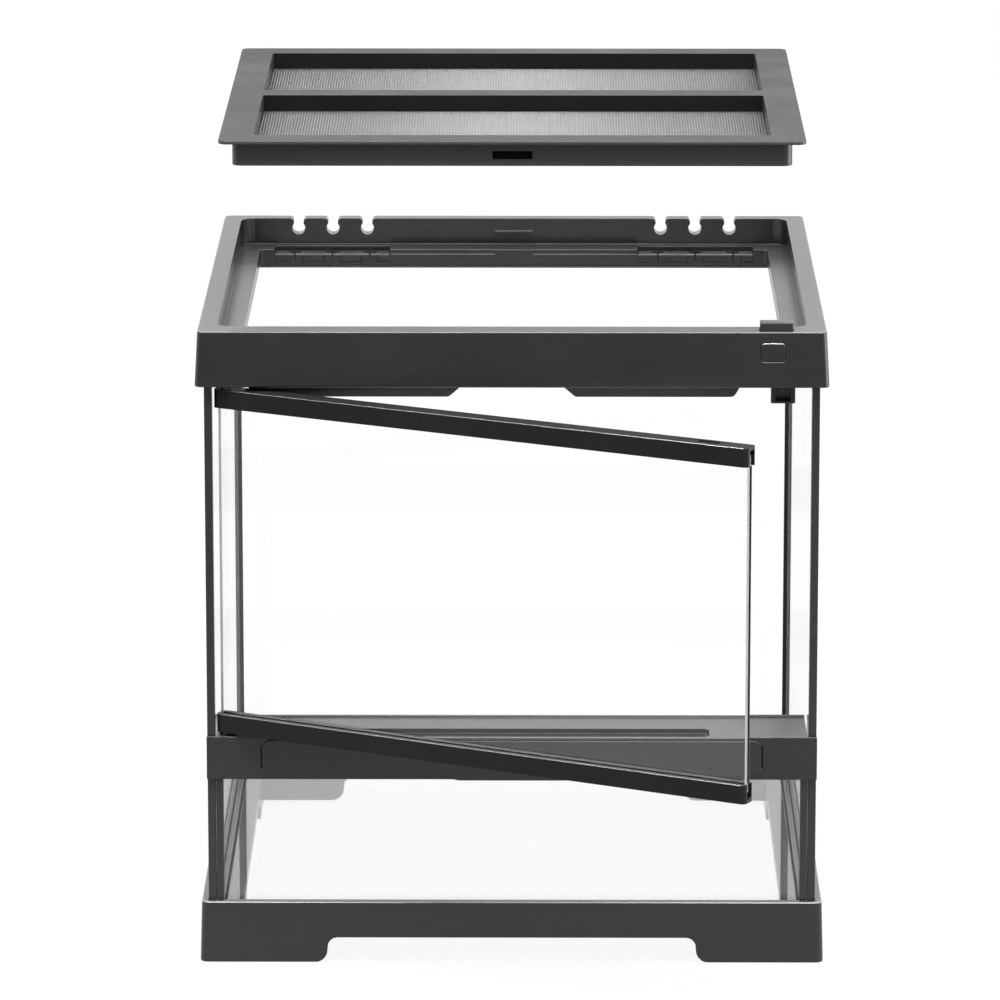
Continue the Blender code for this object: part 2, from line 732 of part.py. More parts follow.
def latch_openings(under):
    """The housing of the latch in the beam, and the slots that its tab, crosspiece and button pass."""
    housing = (HOUSING_X - HOUSING_WIDTH / 2, HOUSING_X + HOUSING_WIDTH / 2)
    tab = TAB_WIDTH / 2 + FIT
    wall_front = -RIM_HALF + BEAM_WALL
    stem = (STEM_X - STEM_WIDTH / 2 - RUNNING_FIT, STEM_X + STEM_WIDTH / 2 + RUNNING_FIT)
    button = rectangle(BUTTON_X - BUTTON_WIDTH / 2 - FIT, BUTTON_X + BUTTON_WIDTH / 2 + FIT,
                       BUTTON_BOTTOM - FIT, BUTTON_TOP + FIT, BUTTON_CORNER + FIT, 4)
    return [
        block("latch_housing", housing, (wall_front, POCKET_FRONT - BEAM_WALL),
              (under, CASE_HEIGHT - BEAM_WALL)),
        block("tab_slot", (BOLT_X - tab, BOLT_X + tab), (-TAB_FRONT - FIT, -TAB_FRONT + TAB_DEPTH + FIT),
              (CASE_HEIGHT - BEAM_WALL - OVER, CASE_HEIGHT + OVER)),
        block("stem_slot", stem, (POCKET_FRONT - BEAM_WALL - OVER, POCKET_FRONT + OVER),
              (under, BLADE_BOTTOM + BLADE_THICK + RUNNING_FIT)),
        plate("button_hole", [button], -TOP_HALF - OVER, wall_front + BEAM_RIB / 2, "XZ"),
    ]


def cable_gate(name, side):
    """Soft insert of the ledge: a plate on a front apron, slit from each hole to the front edge."""
    middle = side * GATE_X
    half = GATE_WIDTH / 2
    back = WINDOW_BACK + GATE_FLAP
    profile = [(WINDOW_BACK, LIP_BOTTOM), (WINDOW_BACK + GATE_PLATE, LIP_BOTTOM),
               (WINDOW_BACK + GATE_PLATE, GATE_TOP - GATE_PLATE), (back, GATE_TOP - GATE_PLATE),
               (back, GATE_TOP), (WINDOW_BACK, GATE_TOP)]
    body = plate(name, [rounded(profile, [0, 0, 0, 0, 0, GATE_EDGE], 2)], middle - half, middle + half, "YZ")
    cuts = []
    hole_y = back - GATE_HOLE / 2 - GATE_FLAP_LINE
    for step in range(-(NOTCHES // 2), NOTCHES // 2 + 1):
        x = middle + GATE_PITCH * step
        hole = circle(x, hole_y, GATE_HOLE / 2, 16)
        cuts.append(plate("gate_hole", [hole], GATE_TOP - OVER, GATE_TOP + OVER))
        cuts.append(block("gate_slit", (x - GATE_SLIT / 2, x + GATE_SLIT / 2), (WINDOW_BACK - OVER, hole_y),
                          (LIP_BOTTOM + GATE_SLIT, GATE_TOP + OVER)))
    cuts += apron_lines(middle)
    return cut(body, *cuts)


def apron_lines(middle):
    """Fine lines moulded into a gate's apron: an open square between two slits, half a one at each end."""
    slits = [middle + GATE_PITCH * step for step in range(-(NOTCHES // 2), NOTCHES // 2 + 1)]
    ends = [middle - GATE_WIDTH / 2 - GATE_GROOVE_CLEAR - OVER] + slits
    starts = slits + [middle + GATE_WIDTH / 2 + GATE_GROOVE_CLEAR + OVER]
    y = (WINDOW_BACK - OVER, WINDOW_BACK + GATE_GROOVE)
    high = GATE_TOP - GATE_GROOVE_BELOW
    low = high - GATE_GROOVE_HEIGHT
    lines = []
    for before, after in zip(ends, starts):
        left = before + GATE_GROOVE_CLEAR
        right = after - GATE_GROOVE_CLEAR
        lines.append(block("apron_line", (left, right), y, (low, low + GATE_GROOVE)))
        lines.append(block("apron_line", (left, left + GATE_GROOVE), y, (low, high)))
        lines.append(block("apron_line", (right - GATE_GROOVE, right), y, (low, high)))
    return lines


def middle_rail():
    """Moulded rail under the door: hollow front box, thin face over the posts, rear shelf and vent trough."""
    inside = PANE_IN - 2 * FIT
    face_back = -RAIL_FACE + RAIL_FACE_THICK
    box_back = -RAIL_FACE + RAIL_BOX_DEPTH
    rear = -RAIL_FACE + RAIL_DEPTH
    shelf_low = RAIL_TOP - RAIL_SHELF_DROP
    behind_face = face_back - RAIL_FACE_THICK / 2
    body = block("mid_rail", (-inside, inside), (behind_face, rear), (shelf_low, RAIL_TOP))
    join(
        body,
        block("rail_face", (-RAIL_WIDTH / 2, RAIL_WIDTH / 2), (-RAIL_FACE, face_back),
              (RAIL_BOTTOM, RAIL_TOP)),
        block("rail_box", (-inside, inside), (behind_face, box_back), (RAIL_BOTTOM + FIT, RAIL_TOP - FIT)),
        block("rear_lip", (-inside, inside), (rear - RAIL_LIP, rear), (shelf_low, RAIL_TOP + RAIL_LIP / 2)),
    )
    trough_y = (-RAIL_FACE + TROUGH_FRONT, -RAIL_FACE + TROUGH_FRONT + TROUGH_WIDTH)
    trough = rectangle(-TROUGH_LENGTH / 2, TROUGH_LENGTH / 2, *trough_y, TROUGH_CORNER, 4)
    vent = rectangle(-TROUGH_LENGTH / 2 + VENT_MARGIN, TROUGH_LENGTH / 2 - VENT_MARGIN,
                     trough_y[0] + VENT_MARGIN / 2, trough_y[1] - VENT_MARGIN / 2, VENT_CORNER, 2)
    hinge = HINGE_X + BUSH_FLANGE_DIAMETER
    pane_front = -BOX_HALF + LOW_GLASS_SETBACK
    core_top = RAIL_TOP - TROUGH_DEPTH - GRILLE_THICK - RAIL_SKIN
    cuts = [
        plate("trough", [trough], RAIL_TOP - TROUGH_DEPTH, RAIL_TOP + OVER),
        plate("vent", [vent], RAIL_BOTTOM - OVER, RAIL_TOP),
        plate("grille_seat", [grown_vent(FIT)], core_top, RAIL_TOP - TROUGH_DEPTH - FIT + OVER),
        block("rail_core", (hinge, -hinge), (pane_front, box_back - RAIL_SKIN),
              (RAIL_BOTTOM - OVER, core_top)),
        block("rail_pane_slot", (-inside - OVER, inside + OVER), (pane_front - FIT, pane_front + GLASS + FIT),
              (RAIL_BOTTOM - OVER, RAIL_BOTTOM + DOOR_GROOVE_FREE + FIT)),
        block("shelf_core", (-inside + RAIL_SKIN, inside - RAIL_SKIN), (box_back, rear - RAIL_SKIN),
              (RAIL_BOTTOM, RAIL_TOP - RAIL_SKIN)),
        round_hole("rail_bush_hole", BUSH_DIAMETER, RAIL_TOP - BUSH_DEPTH - FIT, RAIL_TOP + OVER),
    ]
    for side in (-1, 1):
        x = sorted((side * FASCIA_WIDTH / 2 - side * FASCIA_SLOT, side * (FASCIA_WIDTH / 2 + FASCIA_SLOT)))
        middle = (FASCIA_BOTTOM + FASCIA_TOP) / 2
        cuts.append(block("fascia_slot", x, (-RAIL_FACE - OVER, face_back + FASCIA_SLOT),
                          (middle - FASCIA_SLOT_HEIGHT / 2, middle + FASCIA_SLOT_HEIGHT / 2)))
    return cut(body, *cuts)


def grown_vent(gap):
    """Outline of the vent grille, wider than the vent by its seat, and by the gap where it is cut out for."""
    front = -RAIL_FACE + TROUGH_FRONT + GRILLE_SEAT
    back = front + TROUGH_WIDTH - 2 * GRILLE_SEAT
    end = TROUGH_LENGTH / 2 - VENT_MARGIN / 2
    return rectangle(-end - gap, end + gap, front - gap, back + gap, GRILLE_CORNER, 2)


def vent_grille():
    """The dark slotted strip under the trough, which lets air in below the door."""
    bottom = RAIL_TOP - TROUGH_DEPTH - GRILLE_THICK
    outlines = [grown_vent(0)]
    front = -RAIL_FACE + TROUGH_FRONT + VENT_MARGIN
    back = -RAIL_FACE + TROUGH_FRONT + TROUGH_WIDTH - VENT_MARGIN
    length = TROUGH_LENGTH - 2 * VENT_MARGIN - 2 * VENT_SLOT_WIDTH
    pitch = length / VENT_SLOTS
    for k in range(VENT_SLOTS):
        x = -length / 2 + pitch * (k + 0.5)
        outlines.append(rectangle(x - VENT_SLOT_WIDTH / 2, x + VENT_SLOT_WIDTH / 2, front, back))
    return plate("vent_grille", outlines, bottom, bottom + GRILLE_THICK - FIT)


def front_fascia():
    """Thin bare panel on the rail's face, with a bulge down to the rail's lower edge in the middle."""
    half = FASCIA_WIDTH / 2
    low = RAIL_BOTTOM - FIT
    outline = [(-half, FASCIA_BOTTOM), (-FASCIA_BULGE_TOP, FASCIA_BOTTOM), (-FASCIA_BULGE_BOTTOM, low),
               (FASCIA_BULGE_BOTTOM, low), (FASCIA_BULGE_TOP, FASCIA_BOTTOM), (half, FASCIA_BOTTOM),
               (half, FASCIA_TOP), (-half, FASCIA_TOP)]
    radii = [FASCIA_CORNER] + [FASCIA_BULGE_CORNER] * 4 + [FASCIA_CORNER] * 3
    back = -RAIL_FACE - FIT
    return plate("front_fascia", [rounded(outline, radii, 4)], back - FASCIA_PROUD, back, "XZ")


def hinge_bush(name, face, direction):
    """Flanged bush, pushed into the frame from the door's side; its flange spaces the door's rail off it."""
    outer, flange = BUSH_DIAMETER / 2, BUSH_FLANGE_DIAMETER / 2
    bore = PIN_DIAMETER / 2 + FIT
    stand = face - direction * FIT
    deep = stand + direction * (BUSH_DEPTH - FIT)
    near = stand - direction * BUSH_FLANGE
    profile = [(bore, deep), (outer, deep), (outer, stand), (flange, stand), (flange, near), (bore, near),
               (bore, deep)]
    if direction > 0:
        profile.reverse()
    return turned(name, profile)


# Pieces of the door, drawn closed

def door_rail(name, web_face, direction):
    """Channel along the edge of the door glass, closed at the hinge and open at the free end."""
    half = DOOR_RAIL_DEPTH / 2
    left, right = HINGE_X - DOOR_HEEL, HINGE_X + DOOR_LENGTH
    mouth = web_face - direction * DOOR_RAIL_HEIGHT
    outline = rectangle(left, right, HINGE_Y - half, HINGE_Y + half, DOOR_RAIL_CORNER, 4)
    body = plate(name, [outline], min(mouth, web_face), max(mouth, web_face))
    groove = GLASS / 2 + FIT
    z = sorted((mouth - direction * OVER, web_face - direction * DOOR_WEB))
    cuts = [
        block("door_groove", (left + DOOR_END_WALL, right + OVER), (HINGE_Y - groove, HINGE_Y + groove), z),
        round_hole("door_pin_hole", PIN_DIAMETER, min(mouth, web_face) - OVER, max(mouth, web_face) + OVER),
    ]
    if direction > 0:
        keep = right - KEEP_FROM_TIP
        middle = HINGE_Y + KEEP_BACK
        cuts.append(block("latch_keep", (keep - KEEP_LENGTH / 2, keep + KEEP_LENGTH / 2),
                          (middle - KEEP_WIDTH / 2, middle + KEEP_WIDTH / 2),
                          (web_face - DOOR_WEB - FIT, web_face + OVER)))
    return cut(body, *cuts)


def door_glass():
    low = DOOR_BOTTOM + DOOR_WEB + DOOR_GROOVE_FREE
    high = DOOR_TOP - DOOR_WEB - DOOR_GROOVE_FREE
    x = (HINGE_X - DOOR_HEEL + DOOR_END_WALL + FIT, HINGE_X + DOOR_LENGTH - DOOR_END_WALL - FIT)
    return block("door_glass", x, (HINGE_Y - GLASS / 2, HINGE_Y + GLASS / 2), (low, high))


def hinge_pin(name, web_face, direction):
    """Pin pressed through the rail's web, standing out into the bush."""
    root = web_face - direction * (DOOR_WEB + DOOR_GROOVE_FREE / 2 + FIT)
    tip = web_face + direction * PIN_REACH
    radius = PIN_DIAMETER / 2
    profile = [(0, root), (radius, root), (radius, tip - direction * PIN_CHAMFER),
               (radius - PIN_CHAMFER, tip), (0, tip)]
    if direction < 0:
        profile.reverse()
    return turned(name, profile)


# Latch

def latch_bolt():
    """Tab on the rim, blade and crosspiece in the housing, nose over the door's keep, stem in the bracket."""
    tab_low = CASE_HEIGHT - TAB_SUNK
    tab_high = CASE_HEIGHT + TAB_PROUD
    blade_y = (-BLADE_FRONT, -BLADE_FRONT + BLADE_THICK)
    nose_x = HINGE_X + DOOR_LENGTH - KEEP_FROM_TIP
    tab = (BOLT_X - TAB_WIDTH / 2, BOLT_X + TAB_WIDTH / 2)
    blade = (BOLT_X - BLADE_WIDTH / 2, BOLT_X + BLADE_WIDTH / 2)
    stem = (STEM_X - STEM_WIDTH / 2, STEM_X + STEM_WIDTH / 2)
    body = block("latch_bolt", tab, (-TAB_FRONT, -TAB_FRONT + TAB_DEPTH), (tab_low, tab_high))
    soften(body, TAB_EDGE)
    return join(
        body,
        block("blade", blade, blade_y, (BLADE_BOTTOM, tab_low + FIT)),
        block("crosspiece", stem, (-BLADE_FRONT + FIT, -STEM_BACK),
              (BLADE_BOTTOM, BLADE_BOTTOM + BLADE_THICK)),
        block("nose", (nose_x - NOSE_WIDTH / 2, nose_x + NOSE_WIDTH / 2), (blade_y[0], blade_y[1] + FIT),
              (DOOR_TOP + NOSE_CLEAR, BLADE_BOTTOM + FIT)),
        block("stem", stem, (-STEM_FRONT, -STEM_BACK - FIT), (STEM_BOTTOM, BLADE_BOTTOM + FIT)),
    )


def latch_bracket():
    """Guide of the stem, clipped up between the beam and the ledge's lip, open towards the door."""
    half = BRACKET_WIDTH / 2
    front = POCKET_FRONT + FIT
    back = front + BRACKET_DEPTH
    left, right = BRACKET_X - half, BRACKET_X + half
    corners = [(left, front), (right, front), (right, back), (left, back)]
    outline = rounded(corners, [0, 0, BRACKET_CORNER, BRACKET_CORNER], 3)
    body = plate("latch_bracket", [outline], BRACKET_BOTTOM, LEDGE_UNDER - FIT)
    guide = (left + BRACKET_WALL, right - BRACKET_WALL)
    return cut(body, block("stem_guide", guide, (front - OVER, -STEM_BACK + RUNNING_FIT),
                           (BRACKET_BOTTOM + BRACKET_FLOOR, CASE_HEIGHT)))


def latch_button():
    """Release button, flush in the front wall, with a flange behind the wall."""
    middle = (BUTTON_BOTTOM + BUTTON_TOP) / 2
    lean_in = TOP_DRAFT * (middle - TOP_BOTTOM) / TOP_HEIGHT
    face = -TOP_HALF + lean_in
    wall_back = -RIM_HALF + BEAM_WALL
    half = BUTTON_WIDTH / 2
    outline = rectangle(BUTTON_X - half, BUTTON_X + half, BUTTON_BOTTOM, BUTTON_TOP, BUTTON_CORNER, 4)
    flange = rectangle(BUTTON_X - half - BUTTON_FLANGE, BUTTON_X + half + BUTTON_FLANGE,
                       BUTTON_BOTTOM - BUTTON_FLANGE, BUTTON_TOP + BUTTON_FLANGE, BUTTON_CORNER, 4)
    behind = wall_back + BUTTON_REST_GAP
    body = plate("latch_button", [outline], face, behind + BUTTON_FLANGE, "XZ")
    return join(body, plate("button_flange", [flange], behind, behind + BUTTON_FLANGE + FIT, "XZ"))


# Lid, drawn on its seat

def lid_windows(grow=0):
    """The two mesh windows, in front of and behind the middle bar."""
    x = LID_WIDTH / 2 - LID_BORDER + grow
    edge = LID_DEPTH / 2 - LID_BORDER + grow
    bar = LID_BAR / 2 - grow
    middle = LID_MIDDLE_Y
    return [(-x, x, middle - edge, middle - bar), (-x, x, middle + bar, middle + edge)]


def lid_frame():
    """Flange and hollow skirt in one moulding, with walls round the two windows and two grip slots."""
    half_x, half_y = LID_WIDTH / 2, LID_DEPTH / 2
    skirt_x, skirt_y = half_x - LID_SKIRT_IN, half_y - LID_SKIRT_IN
    middle = LID_MIDDLE_Y
    flange = rectangle(-half_x, half_x, middle - half_y, middle + half_y, LID_CORNER)
    body = plate("lid_frame", [flange], LID_TOP - LID_FLANGE, LID_TOP)
    soften(body, LID_EDGE)
    skirt = rectangle(-skirt_x, skirt_x, middle - skirt_y, middle + skirt_y, LID_SKIRT_CORNER)
    join(body, plate("lid_skirt", [skirt], LID_BOTTOM, LID_TOP - LID_FLANGE / 2))
    inner_x, inner_y = skirt_x - LID_SKIRT_THICK, skirt_y - LID_SKIRT_THICK
    hollow = rectangle(-inner_x, inner_x, middle - inner_y, middle + inner_y, LID_SKIRT_CORNER / 2, 3)
    walls = [rectangle(*window, LID_BAR_WALL, 2) for window in lid_windows(LID_BAR_WALL)]
    cuts = [plate("lid_hollow", [hollow] + walls, LID_BOTTOM - OVER, LID_TOP - LID_FLANGE)]
    cuts += [plate("lid_window", [rectangle(*window, LID_BAR_WALL / 2, 2)], LID_BOTTOM - OVER, LID_TOP + OVER)
             for window in lid_windows()]
    slot = (-LID_SLOT_WIDTH / 2, LID_SLOT_WIDTH / 2)
    slot_z = (LID_TOP - LID_SLOT_BELOW - LID_SLOT_HEIGHT, LID_TOP - LID_SLOT_BELOW)
    through = LID_SKIRT_THICK + FIT
    for y in (middle - skirt_y, middle + skirt_y):
        cuts.append(block("grip_slot", slot, (y - through, y + through), slot_z))
    return cut(body, *cuts)


def lid_mesh(name, window):
    """Flat screen in a window of the lid: wires across and along, with a hem round them."""
    left, right, front, back = window
    left, right, front, back = left + FIT, right - FIT, front + FIT, back - FIT
    outlines = [rectangle(left, right, front, back)]
    wide = (right - left - 2 * NET_HEM + NET_WIRE) / NET_COLUMNS
    deep = (back - front - 2 * NET_HEM + NET_WIRE) / NET_ROWS
    for column in range(NET_COLUMNS):
        for row in range(NET_ROWS):
            x = left + NET_HEM + wide * column
            y = front + NET_HEM + deep * row
            outlines.append(rectangle(x, x + wide - NET_WIRE, y, y + deep - NET_WIRE))
    return plate(name, outlines, MESH_TOP - NET_THICK, MESH_TOP)


def mesh_retainer(name, window):
    """Ring under the screen's hem that holds it up in the window."""
    left, right, front, back = window
    outer = rectangle(left + FIT, right - FIT, front + FIT, back - FIT)
    edge = FIT + RETAINER_WIDTH
    inner = rectangle(left + edge, right - edge, front + edge, back - edge)
    top = MESH_TOP - NET_THICK - FIT
    return plate(name, [outer, inner], top - RETAINER_THICK, top)


def floor_glass():
    """The floor pane, which lies on the base's shelf."""
    across = (-FLOOR_GLASS / 2, FLOOR_GLASS / 2)
    low = FLOOR_SHELF + FIT
    return block("floor_glass", across, across, (low, low + GLASS))


def build():
    tank = empty("tank", (0, TANK_Y, 0))
    bpy.context.view_layer.update()

    frame_plastic = plastic("frame_plastic", *FRAME_PLASTIC)
    dark_plastic = plastic("dark_plastic", *DARK_PLASTIC)
    pane = clear_glass("clear_glass")
    soft = plastic("soft_insert", *SOFT_PLASTIC)
    steel = metal("steel", *STEEL)

    fixed = [(base_frame(), frame_plastic), (top_frame(), frame_plastic)]
    fixed += [(glass, pane) for glass in upright_panes()]
    fixed += [(post, dark_plastic) for post in posts()]
    low_glass, channels = low_front()
    fixed += [(low_glass, pane)] + [(channel, dark_plastic) for channel in channels]
    fixed += [(floor_glass(), pane), (middle_rail(), frame_plastic), (front_fascia(), frame_plastic),
              (vent_grille(), dark_plastic), (cable_gate("cable_gate_left", -1), soft),
              (cable_gate("cable_gate_right", 1), soft), (latch_bracket(), dark_plastic),
              (hinge_bush("top_hinge_bush", TOP_BOTTOM, 1), dark_plastic),
              (hinge_bush("bottom_hinge_bush", RAIL_TOP, -1), dark_plastic)]

    door_axis = empty("door_axis", (HINGE_X, HINGE_Y, 0), tank)
    door = [(door_glass(), pane), (door_rail("door_top_rail", DOOR_TOP, 1), dark_plastic),
            (door_rail("door_bottom_rail", DOOR_BOTTOM, -1), dark_plastic),
            (hinge_pin("top_hinge_pin", DOOR_TOP, 1), steel),
            (hinge_pin("bottom_hinge_pin", DOOR_BOTTOM, -1), steel)]

    lid = empty("lid", (0, LID_MIDDLE_Y, LID_BOTTOM), tank)
    near_window, far_window = lid_windows()
    lid_pieces = [(lid_frame(), frame_plastic), (lid_mesh("lid_mesh_front", near_window), steel),
                  (lid_mesh("lid_mesh_rear", far_window), steel),
                  (mesh_retainer("mesh_retainer_front", near_window), dark_plastic),
                  (mesh_retainer("mesh_retainer_rear", far_window), dark_plastic)]

    bolt = empty("bolt", (BOLT_X, -BLADE_FRONT, CASE_HEIGHT), tank)
    button = empty("button", (BUTTON_X, -TOP_HALF, (BUTTON_BOTTOM + BUTTON_TOP) / 2), tank)
    groups = [(tank, fixed), (door_axis, door), (lid, lid_pieces), (bolt, [(latch_bolt(), dark_plastic)]),
              (button, [(latch_button(), frame_plastic)])]

    # Every piece is drawn around the tank's middle, so each goes back there before it hangs on its empty
    for holder, pieces in groups:
        for piece, material in pieces:
            piece.location = piece.location + Vector((0, TANK_Y, 0))
            follow_cutters(piece)
            finish(piece, material, holder)
    door_axis.rotation_euler.z = -math.radians(DOOR_OPEN)
    lid.location.z += LID_LIFT


def follow_cutters(piece):
    """Moves a piece's cutters with it and parents them to it, so that they stay where they cut."""
    bpy.context.view_layer.update()
    for modifier in piece.modifiers:
        if modifier.type != "BOOLEAN":
            continue
        tools = modifier.collection.objects if modifier.operand_type == "COLLECTION" else [modifier.object]
        for tool in tools:
            place = tool.matrix_world.copy()
            place.translation.y += TANK_Y
            tool.parent = piece
            tool.matrix_parent_inverse = piece.matrix_world.inverted()
            tool.matrix_world = place


build()
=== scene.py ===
# %% [markdown]
# # A glass terrarium in the studio
# The frame that this script dresses is the imported model of a front-opening glass terrarium: moulded plastic
# frames at the base, the middle and the top, clear panes between them, a hinged glass door and a lid with
# two mesh screens. The sizes and the joints come from that frame. This script adds the finish of each
# surface, with painted highlights on edges, painted shade on inner walls and painted light on the lid's
# sides, the fine woven screens, a dark strip of painted shade on the door's edge, the studio and the camera.

# %% Load the frame and note its size
import json
import math

import bpy
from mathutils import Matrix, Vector


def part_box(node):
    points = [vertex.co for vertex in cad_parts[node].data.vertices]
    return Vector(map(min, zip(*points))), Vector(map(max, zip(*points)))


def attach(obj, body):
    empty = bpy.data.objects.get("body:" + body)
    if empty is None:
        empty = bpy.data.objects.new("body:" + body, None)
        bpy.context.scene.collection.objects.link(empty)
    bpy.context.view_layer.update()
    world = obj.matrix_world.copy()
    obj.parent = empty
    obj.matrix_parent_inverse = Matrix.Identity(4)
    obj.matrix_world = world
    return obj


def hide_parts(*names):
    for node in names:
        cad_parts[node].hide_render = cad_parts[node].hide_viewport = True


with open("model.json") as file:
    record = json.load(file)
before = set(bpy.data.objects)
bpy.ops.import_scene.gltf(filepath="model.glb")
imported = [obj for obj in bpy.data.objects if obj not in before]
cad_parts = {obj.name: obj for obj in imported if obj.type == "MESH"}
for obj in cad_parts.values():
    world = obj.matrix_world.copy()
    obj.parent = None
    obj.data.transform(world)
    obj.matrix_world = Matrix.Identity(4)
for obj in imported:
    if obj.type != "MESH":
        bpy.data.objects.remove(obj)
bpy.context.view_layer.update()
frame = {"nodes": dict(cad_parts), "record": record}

NODES = frame["nodes"]

# %% [markdown]
# ## The tank's own axes
# The door stands open towards the viewer, so the middle of the whole model isn't the middle of the tank.
# The base gives the tank's middle and its front plane, and every place below is measured from those.
# Reading them from the frame keeps this script right if the frame is ever packed again at another place.

# %% Where the tank stands
base_low, base_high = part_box("base_frame")
TANK_X = (base_low.x + base_high.x) / 2
TANK_Y = (base_low.y + base_high.y) / 2
FRONT_Y = base_low.y
print("tank middle at", round(TANK_X, 4), round(TANK_Y, 4), "front at", round(FRONT_Y, 4))

# %% [markdown]
# ## The camera
# The photograph is taken from a few metres away with a long lens, from well above the rim, so the top frame
# shows its ledge and the floor shows under the arches. A short lens would make the base look much smaller
# than the rim. The camera is put at the photograph's distance and height and turned down at the tank's
# front, with no lens shift.

# %% Camera at the photograph's viewpoint
CAMERA_DISTANCE = 3.239     # in front of the base's front face
CAMERA_HEIGHT = 0.992
CAMERA_RIGHT = 0.0111       # of the tank's middle
AIM_HEIGHT = 0.240
AIM_RIGHT = -0.0059
LENS_MM = 240.7
SENSOR_MM = 36.0
CLIP_END = 30

camera_data = bpy.data.cameras.new("photo_camera")
camera_data.lens = LENS_MM
camera_data.sensor_width = SENSOR_MM
camera_data.clip_end = CLIP_END
camera = bpy.data.objects.new("photo_camera", camera_data)
bpy.context.scene.collection.objects.link(camera)
camera.location = (TANK_X + CAMERA_RIGHT, FRONT_Y - CAMERA_DISTANCE, CAMERA_HEIGHT)
aim = Vector((TANK_X + AIM_RIGHT, FRONT_Y, AIM_HEIGHT))
camera.rotation_euler = (aim - camera.location).to_track_quat("-Z", "Y").to_euler()
bpy.context.scene.camera = camera
print("camera tilted down", round(90 - math.degrees(camera.rotation_euler.x), 2), "degrees")

# %% [markdown]
# ## Small helpers for node trees
# Every material below is built from nodes, so a few helpers keep the cells short: one adds a node and sets
# its sockets, one joins two sockets, and one adds a calculation. Clicking the nodes together in the editor
# would do the same, but a script shows each value and can be run again.

# %% Node helpers
def add_node(tree, kind, at=(0, 0), **inputs):
    """Adds a node and sets those of its inputs that are named, with spaces written as underscores."""
    node = tree.nodes.new(kind)
    node.location = at
    for name, value in inputs.items():
        node.inputs[name.replace("_", " ")].default_value = value
    return node


def link(tree, source, target):
    tree.links.new(source, target)


def calculate(tree, operation, *values):
    """A Math node whose inputs are sockets or numbers. Gives its output socket."""
    node = add_node(tree, "ShaderNodeMath")
    node.operation = operation
    for index, value in enumerate(values):
        if isinstance(value, (int, float)):
            node.inputs[index].default_value = value
        else:
            link(tree, value, node.inputs[index])
    return node.outputs[0]


print("node helpers:", add_node.__name__, link.__name__, calculate.__name__)

# %% [markdown]
# ## How a material starts
# Each material is a Principled shader with some of its sockets fed by nodes. One helper makes the empty
# material and hands out its tree and its shader. The glass, the ground edges and the steel all vary with a
# noise, so three more add that noise, lay a ramp of two colours over it, and make it change the roughness.

# %% Material helpers
def new_material(name):
    made = bpy.data.materials.new(name)
    made.use_nodes = True
    return made, made.node_tree, made.node_tree.nodes["Principled BSDF"]


def colour_ramp(tree, value, shader, low, high):
    """Feeds the shader's Base Color with a colour between low and high."""
    ramp = add_node(tree, "ShaderNodeValToRGB", (-450, 100))
    ramp.color_ramp.elements[0].color = (*low, 1)
    ramp.color_ramp.elements[1].color = (*high, 1)
    link(tree, value, ramp.inputs["Fac"])
    link(tree, ramp.outputs["Color"], shader.inputs["Base Color"])


def surface_noise(tree, vector=None, **inputs):
    """A noise fixed to the object, so that it moves with the piece. Gives its value."""
    noise = add_node(tree, "ShaderNodeTexNoise", (-700, 0), **inputs)
    if vector is None:
        vector = add_node(tree, "ShaderNodeTexCoord", (-900, 0)).outputs["Object"]
    link(tree, vector, noise.inputs["Vector"])
    return noise.outputs["Fac"]


def rough_from(tree, value, shader, low, high):
    """Feeds the shader's Roughness with a value between low and high."""
    spread = add_node(tree, "ShaderNodeMapRange", (-450, -200), To_Min=low, To_Max=high)
    link(tree, value, spread.inputs["Value"])
    link(tree, spread.outputs["Result"], shader.inputs["Roughness"])


print("material helpers:", new_material.__name__, colour_ramp.__name__, surface_noise.__name__,
      rough_from.__name__)

# %% [markdown]
# ## Moulded plastic
# The frames come out of a steel mould with a fine spark-eroded texture: the surface is satin, a little
# mottled in gloss, and each edge is slightly rounded, so it catches a thin bright line. An image of real
# plastic would show its seams on so many faces, so the grain is made of noise: a fine one for the pits and
# a broad one for the uneven cooling of the plastic. The rounded edge comes from a Bevel node, which bends
# the normal near an edge and leaves the frame's meshes as they are. The bright line is partly that rounded
# normal and partly a painted highlight on the edges that face up.
#
# Several plastics share all this, so it is a node group with named inputs, built once and placed in each
# material with its own values. The first cell makes the empty group.

# %% An empty node group with named sockets
def new_group(name, inputs, outputs):
    """A node group with float inputs (name, default, low, high) and outputs (name, socket type)."""
    tree = bpy.data.node_groups.new(name, "ShaderNodeTree")
    for title, default, low, high in inputs:
        socket = tree.interface.new_socket(name=title, in_out="INPUT", socket_type="NodeSocketFloat")
        socket.default_value = default
        socket.min_value = low
        socket.max_value = high
    for title, kind in outputs:
        tree.interface.new_socket(name=title, in_out="OUTPUT", socket_type=kind)
    return tree, tree.nodes.new("NodeGroupInput"), tree.nodes.new("NodeGroupOutput")


GRAIN_INPUTS = [
    ("Grain Size", 2600, 10, 20000),
    ("Grain Depth", 0.12, 0, 1),
    ("Edge Radius", 0.0006, 0, 0.01),
    ("Tone", 0.05, 0, 1),
    ("Mottle", 0.12, 0, 1),
    ("Gloss", 0.36, 0, 1),
    ("Gloss Change", 0.08, 0, 1),
    # How strong the painted highlight along the up-facing edges is
    ("Edge Shine", 0.0, 0, 1),
]
GRAIN_OUTPUTS = [
    ("Color", "NodeSocketColor"),
    ("Roughness", "NodeSocketFloat"),
    ("Normal", "NodeSocketVector"),
    ("Metallic", "NodeSocketFloat"),
]
GRAIN_AND_HIGHLIGHT, given, out = new_group("moulded_grain_and_painted_highlight", GRAIN_INPUTS, GRAIN_OUTPUTS)
print("group:", GRAIN_AND_HIGHLIGHT.name, "with inputs", [row[0] for row in GRAIN_INPUTS])

